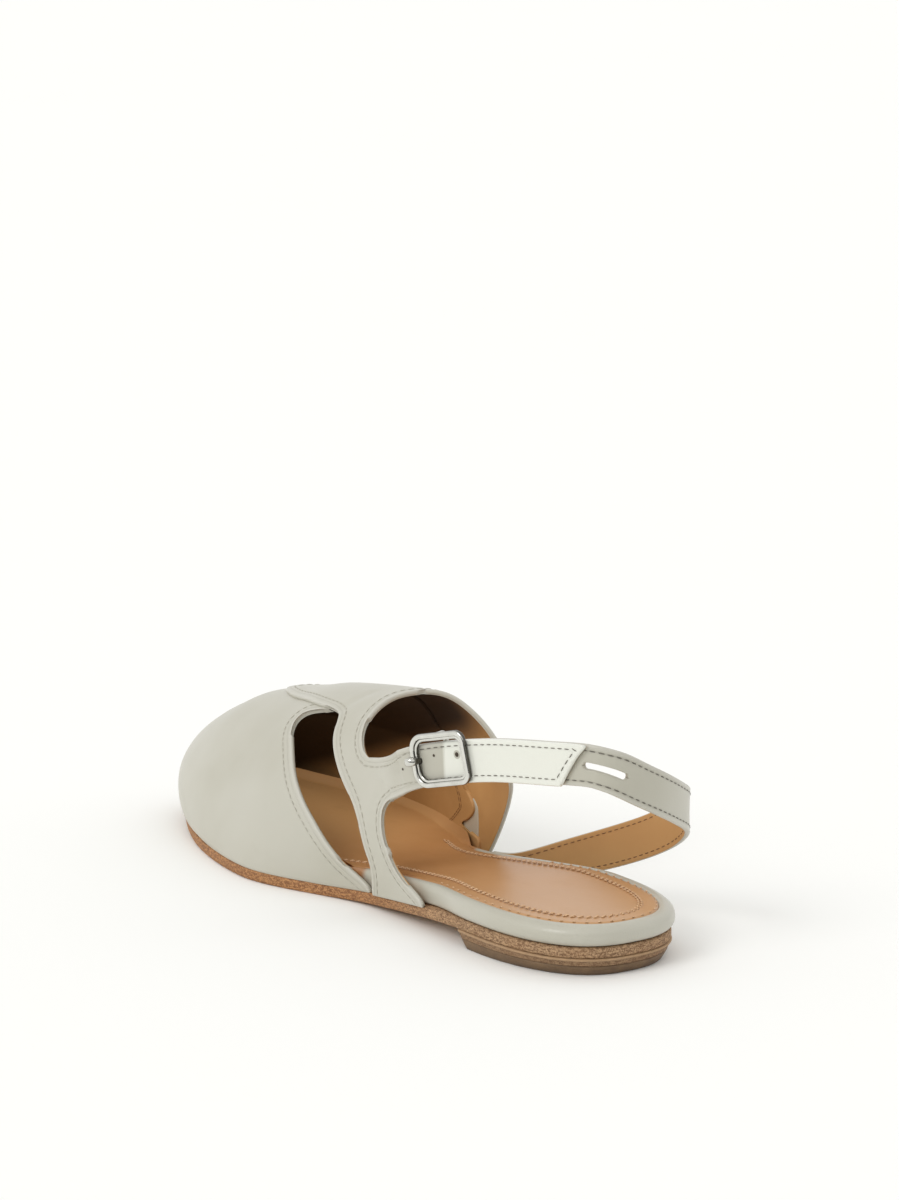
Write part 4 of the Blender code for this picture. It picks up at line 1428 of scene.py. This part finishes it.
hole_shade = finish_material("punched_hole_dark", paint_hole, Roughness=0.9)
HOLES = [
    (-HOLE_PLACE, PIN_RISE / STRAP_WIDTH, 0.00095),
    (-0.0034, 0.22, 0.00050),
    (0.0064, 0.19, 0.00080),
    (-0.0180, 0.04, 0.00045),
]
LIP = [(1.75, 0.00002), (1.35, 0.00010), (1.05, 0.00008), (0.90, -0.00002)]
HOLE_SIDES = 20
for n, (way, rise, radius) in enumerate(HOLES):
    centre, ahead_here, up_here, out_here, strap_width = strap_frame(BUCKLE_PLACE + way)
    centre = centre + up_here * rise * strap_width + out_here * (billet_out + STRAP_THICK / 2)
    angles = 2 * math.pi * np.arange(HOLE_SIDES) / HOLE_SIDES
    circle = [(ahead_here * math.cos(angle) + up_here * math.sin(angle)) * radius for angle in angles]
    points = [centre + arm * spread + out_here * lift_up for spread, lift_up in LIP for arm in circle]
    lip = new_piece(f"hole_lip_{n}", points, ring_faces(len(LIP), HOLE_SIDES), [pearl_plain])
    pit = centre + out_here * 0.00003
    fan = [(0, 1 + k, 1 + (k + 1) % HOLE_SIDES) for k in range(HOLE_SIDES)]
    hole = new_piece(f"punched_hole_{n}", [pit, *(pit + arm for arm in circle)], fan, [hole_shade])


# The stage: a pale seamless floor, soft studio light and the photograph's camera.
# The sky of the studio is white, but dim low down behind the camera.
def paint_floor(spot):
    cloud = noise(spot, 3.0, 2.0, 0.5)
    return {"Base_Color": cloud.blend((0.970, 0.970, 0.950), (0.980, 0.980, 0.960))}


floor_paint = finish_material("pale_floor", paint_floor, Roughness=0.85)
mesh = bpy.data.meshes.new("floor")
reach = 40.0
corners = [(-reach, -reach, 0), (reach, -reach, 0), (reach, reach, 0), (-reach, reach, 0)]
mesh.from_pydata(corners, [], [(0, 1, 2, 3)])
mesh.materials.append(floor_paint)
floor = bpy.data.objects.new("floor", mesh)
bpy.context.scene.collection.objects.link(floor)

CAMERA_TURN = -34.4
CAMERA_TILT = 14.52
CAMERA_AWAY = 1.370
AIM_TURN = -0.62
AIM_TILT = -2.69
world = bpy.data.worlds.new("studio")
world.use_nodes = True
tree = world.node_tree
way = Wire(tree, tree.nodes.new("ShaderNodeTexCoord").outputs["Generated"])
across, along, high = way.parts()
facing = across * -0.565 - along * 0.825
dim = facing.step(0.25, 0.80) * high.step(0.18, 0.42, 1.0, 0.0)
sky = dim.blend((1.0, 0.998, 0.985), (0.15, 0.15, 0.15))
tree.links.new(sky.socket, tree.nodes["Background"].inputs["Color"])
tree.nodes["Background"].inputs["Strength"].default_value = 0.90
bpy.context.scene.world = world
bpy.context.scene.view_settings.view_transform = "Standard"


def lamp(name, kind, energy, **settings):
    light = bpy.data.lights.new(name, kind)
    light.energy = energy
    for key, value in settings.items():
        setattr(light, key, value)
    made = bpy.data.objects.new(name, light)
    bpy.context.scene.collection.objects.link(made)
    return made


sun = lamp("key_light", "SUN", 0.85, angle=math.radians(28))
sun.rotation_euler = Vector((0.93, 0.10, -0.70)).to_track_quat("-Z", "Y").to_euler()
glow = lamp("inside_light", "AREA", 0.0095, shape="RECTANGLE", size=0.028, size_y=0.120)
glow.data.color = (1.0, 0.97, 0.90)
glow.location = (0.010, 0.145, 0.036)
glow.rotation_euler = (0.0, math.radians(-12), 0.0)
glow.visible_camera = False
glow.visible_glossy = False


def looking(turn, tilt):
    """A look's direction and the level direction to its right, from angles in degrees."""
    turn, tilt = math.radians(turn), math.radians(tilt)
    ahead = Vector((-math.sin(turn) * math.cos(tilt), math.cos(turn) * math.cos(tilt), -math.sin(tilt)))
    return ahead, Vector((math.cos(turn), math.sin(turn), 0.0))


target = Vector((0.0, 0.125 - HEEL_CENTRE, 0.030))
stand = target - looking(CAMERA_TURN, CAMERA_TILT)[0] * CAMERA_AWAY
look, right = looking(CAMERA_TURN + AIM_TURN, CAMERA_TILT + AIM_TILT)
lens = bpy.data.cameras.new("camera")
lens.lens = 124.3
lens.sensor_width = 36.0
camera = bpy.data.objects.new("camera", lens)
facing = Matrix((right, right.cross(look), -look)).transposed().to_4x4()
camera.matrix_world = Matrix.Translation(stand) @ facing
bpy.context.scene.collection.objects.link(camera)
bpy.context.scene.camera = camera
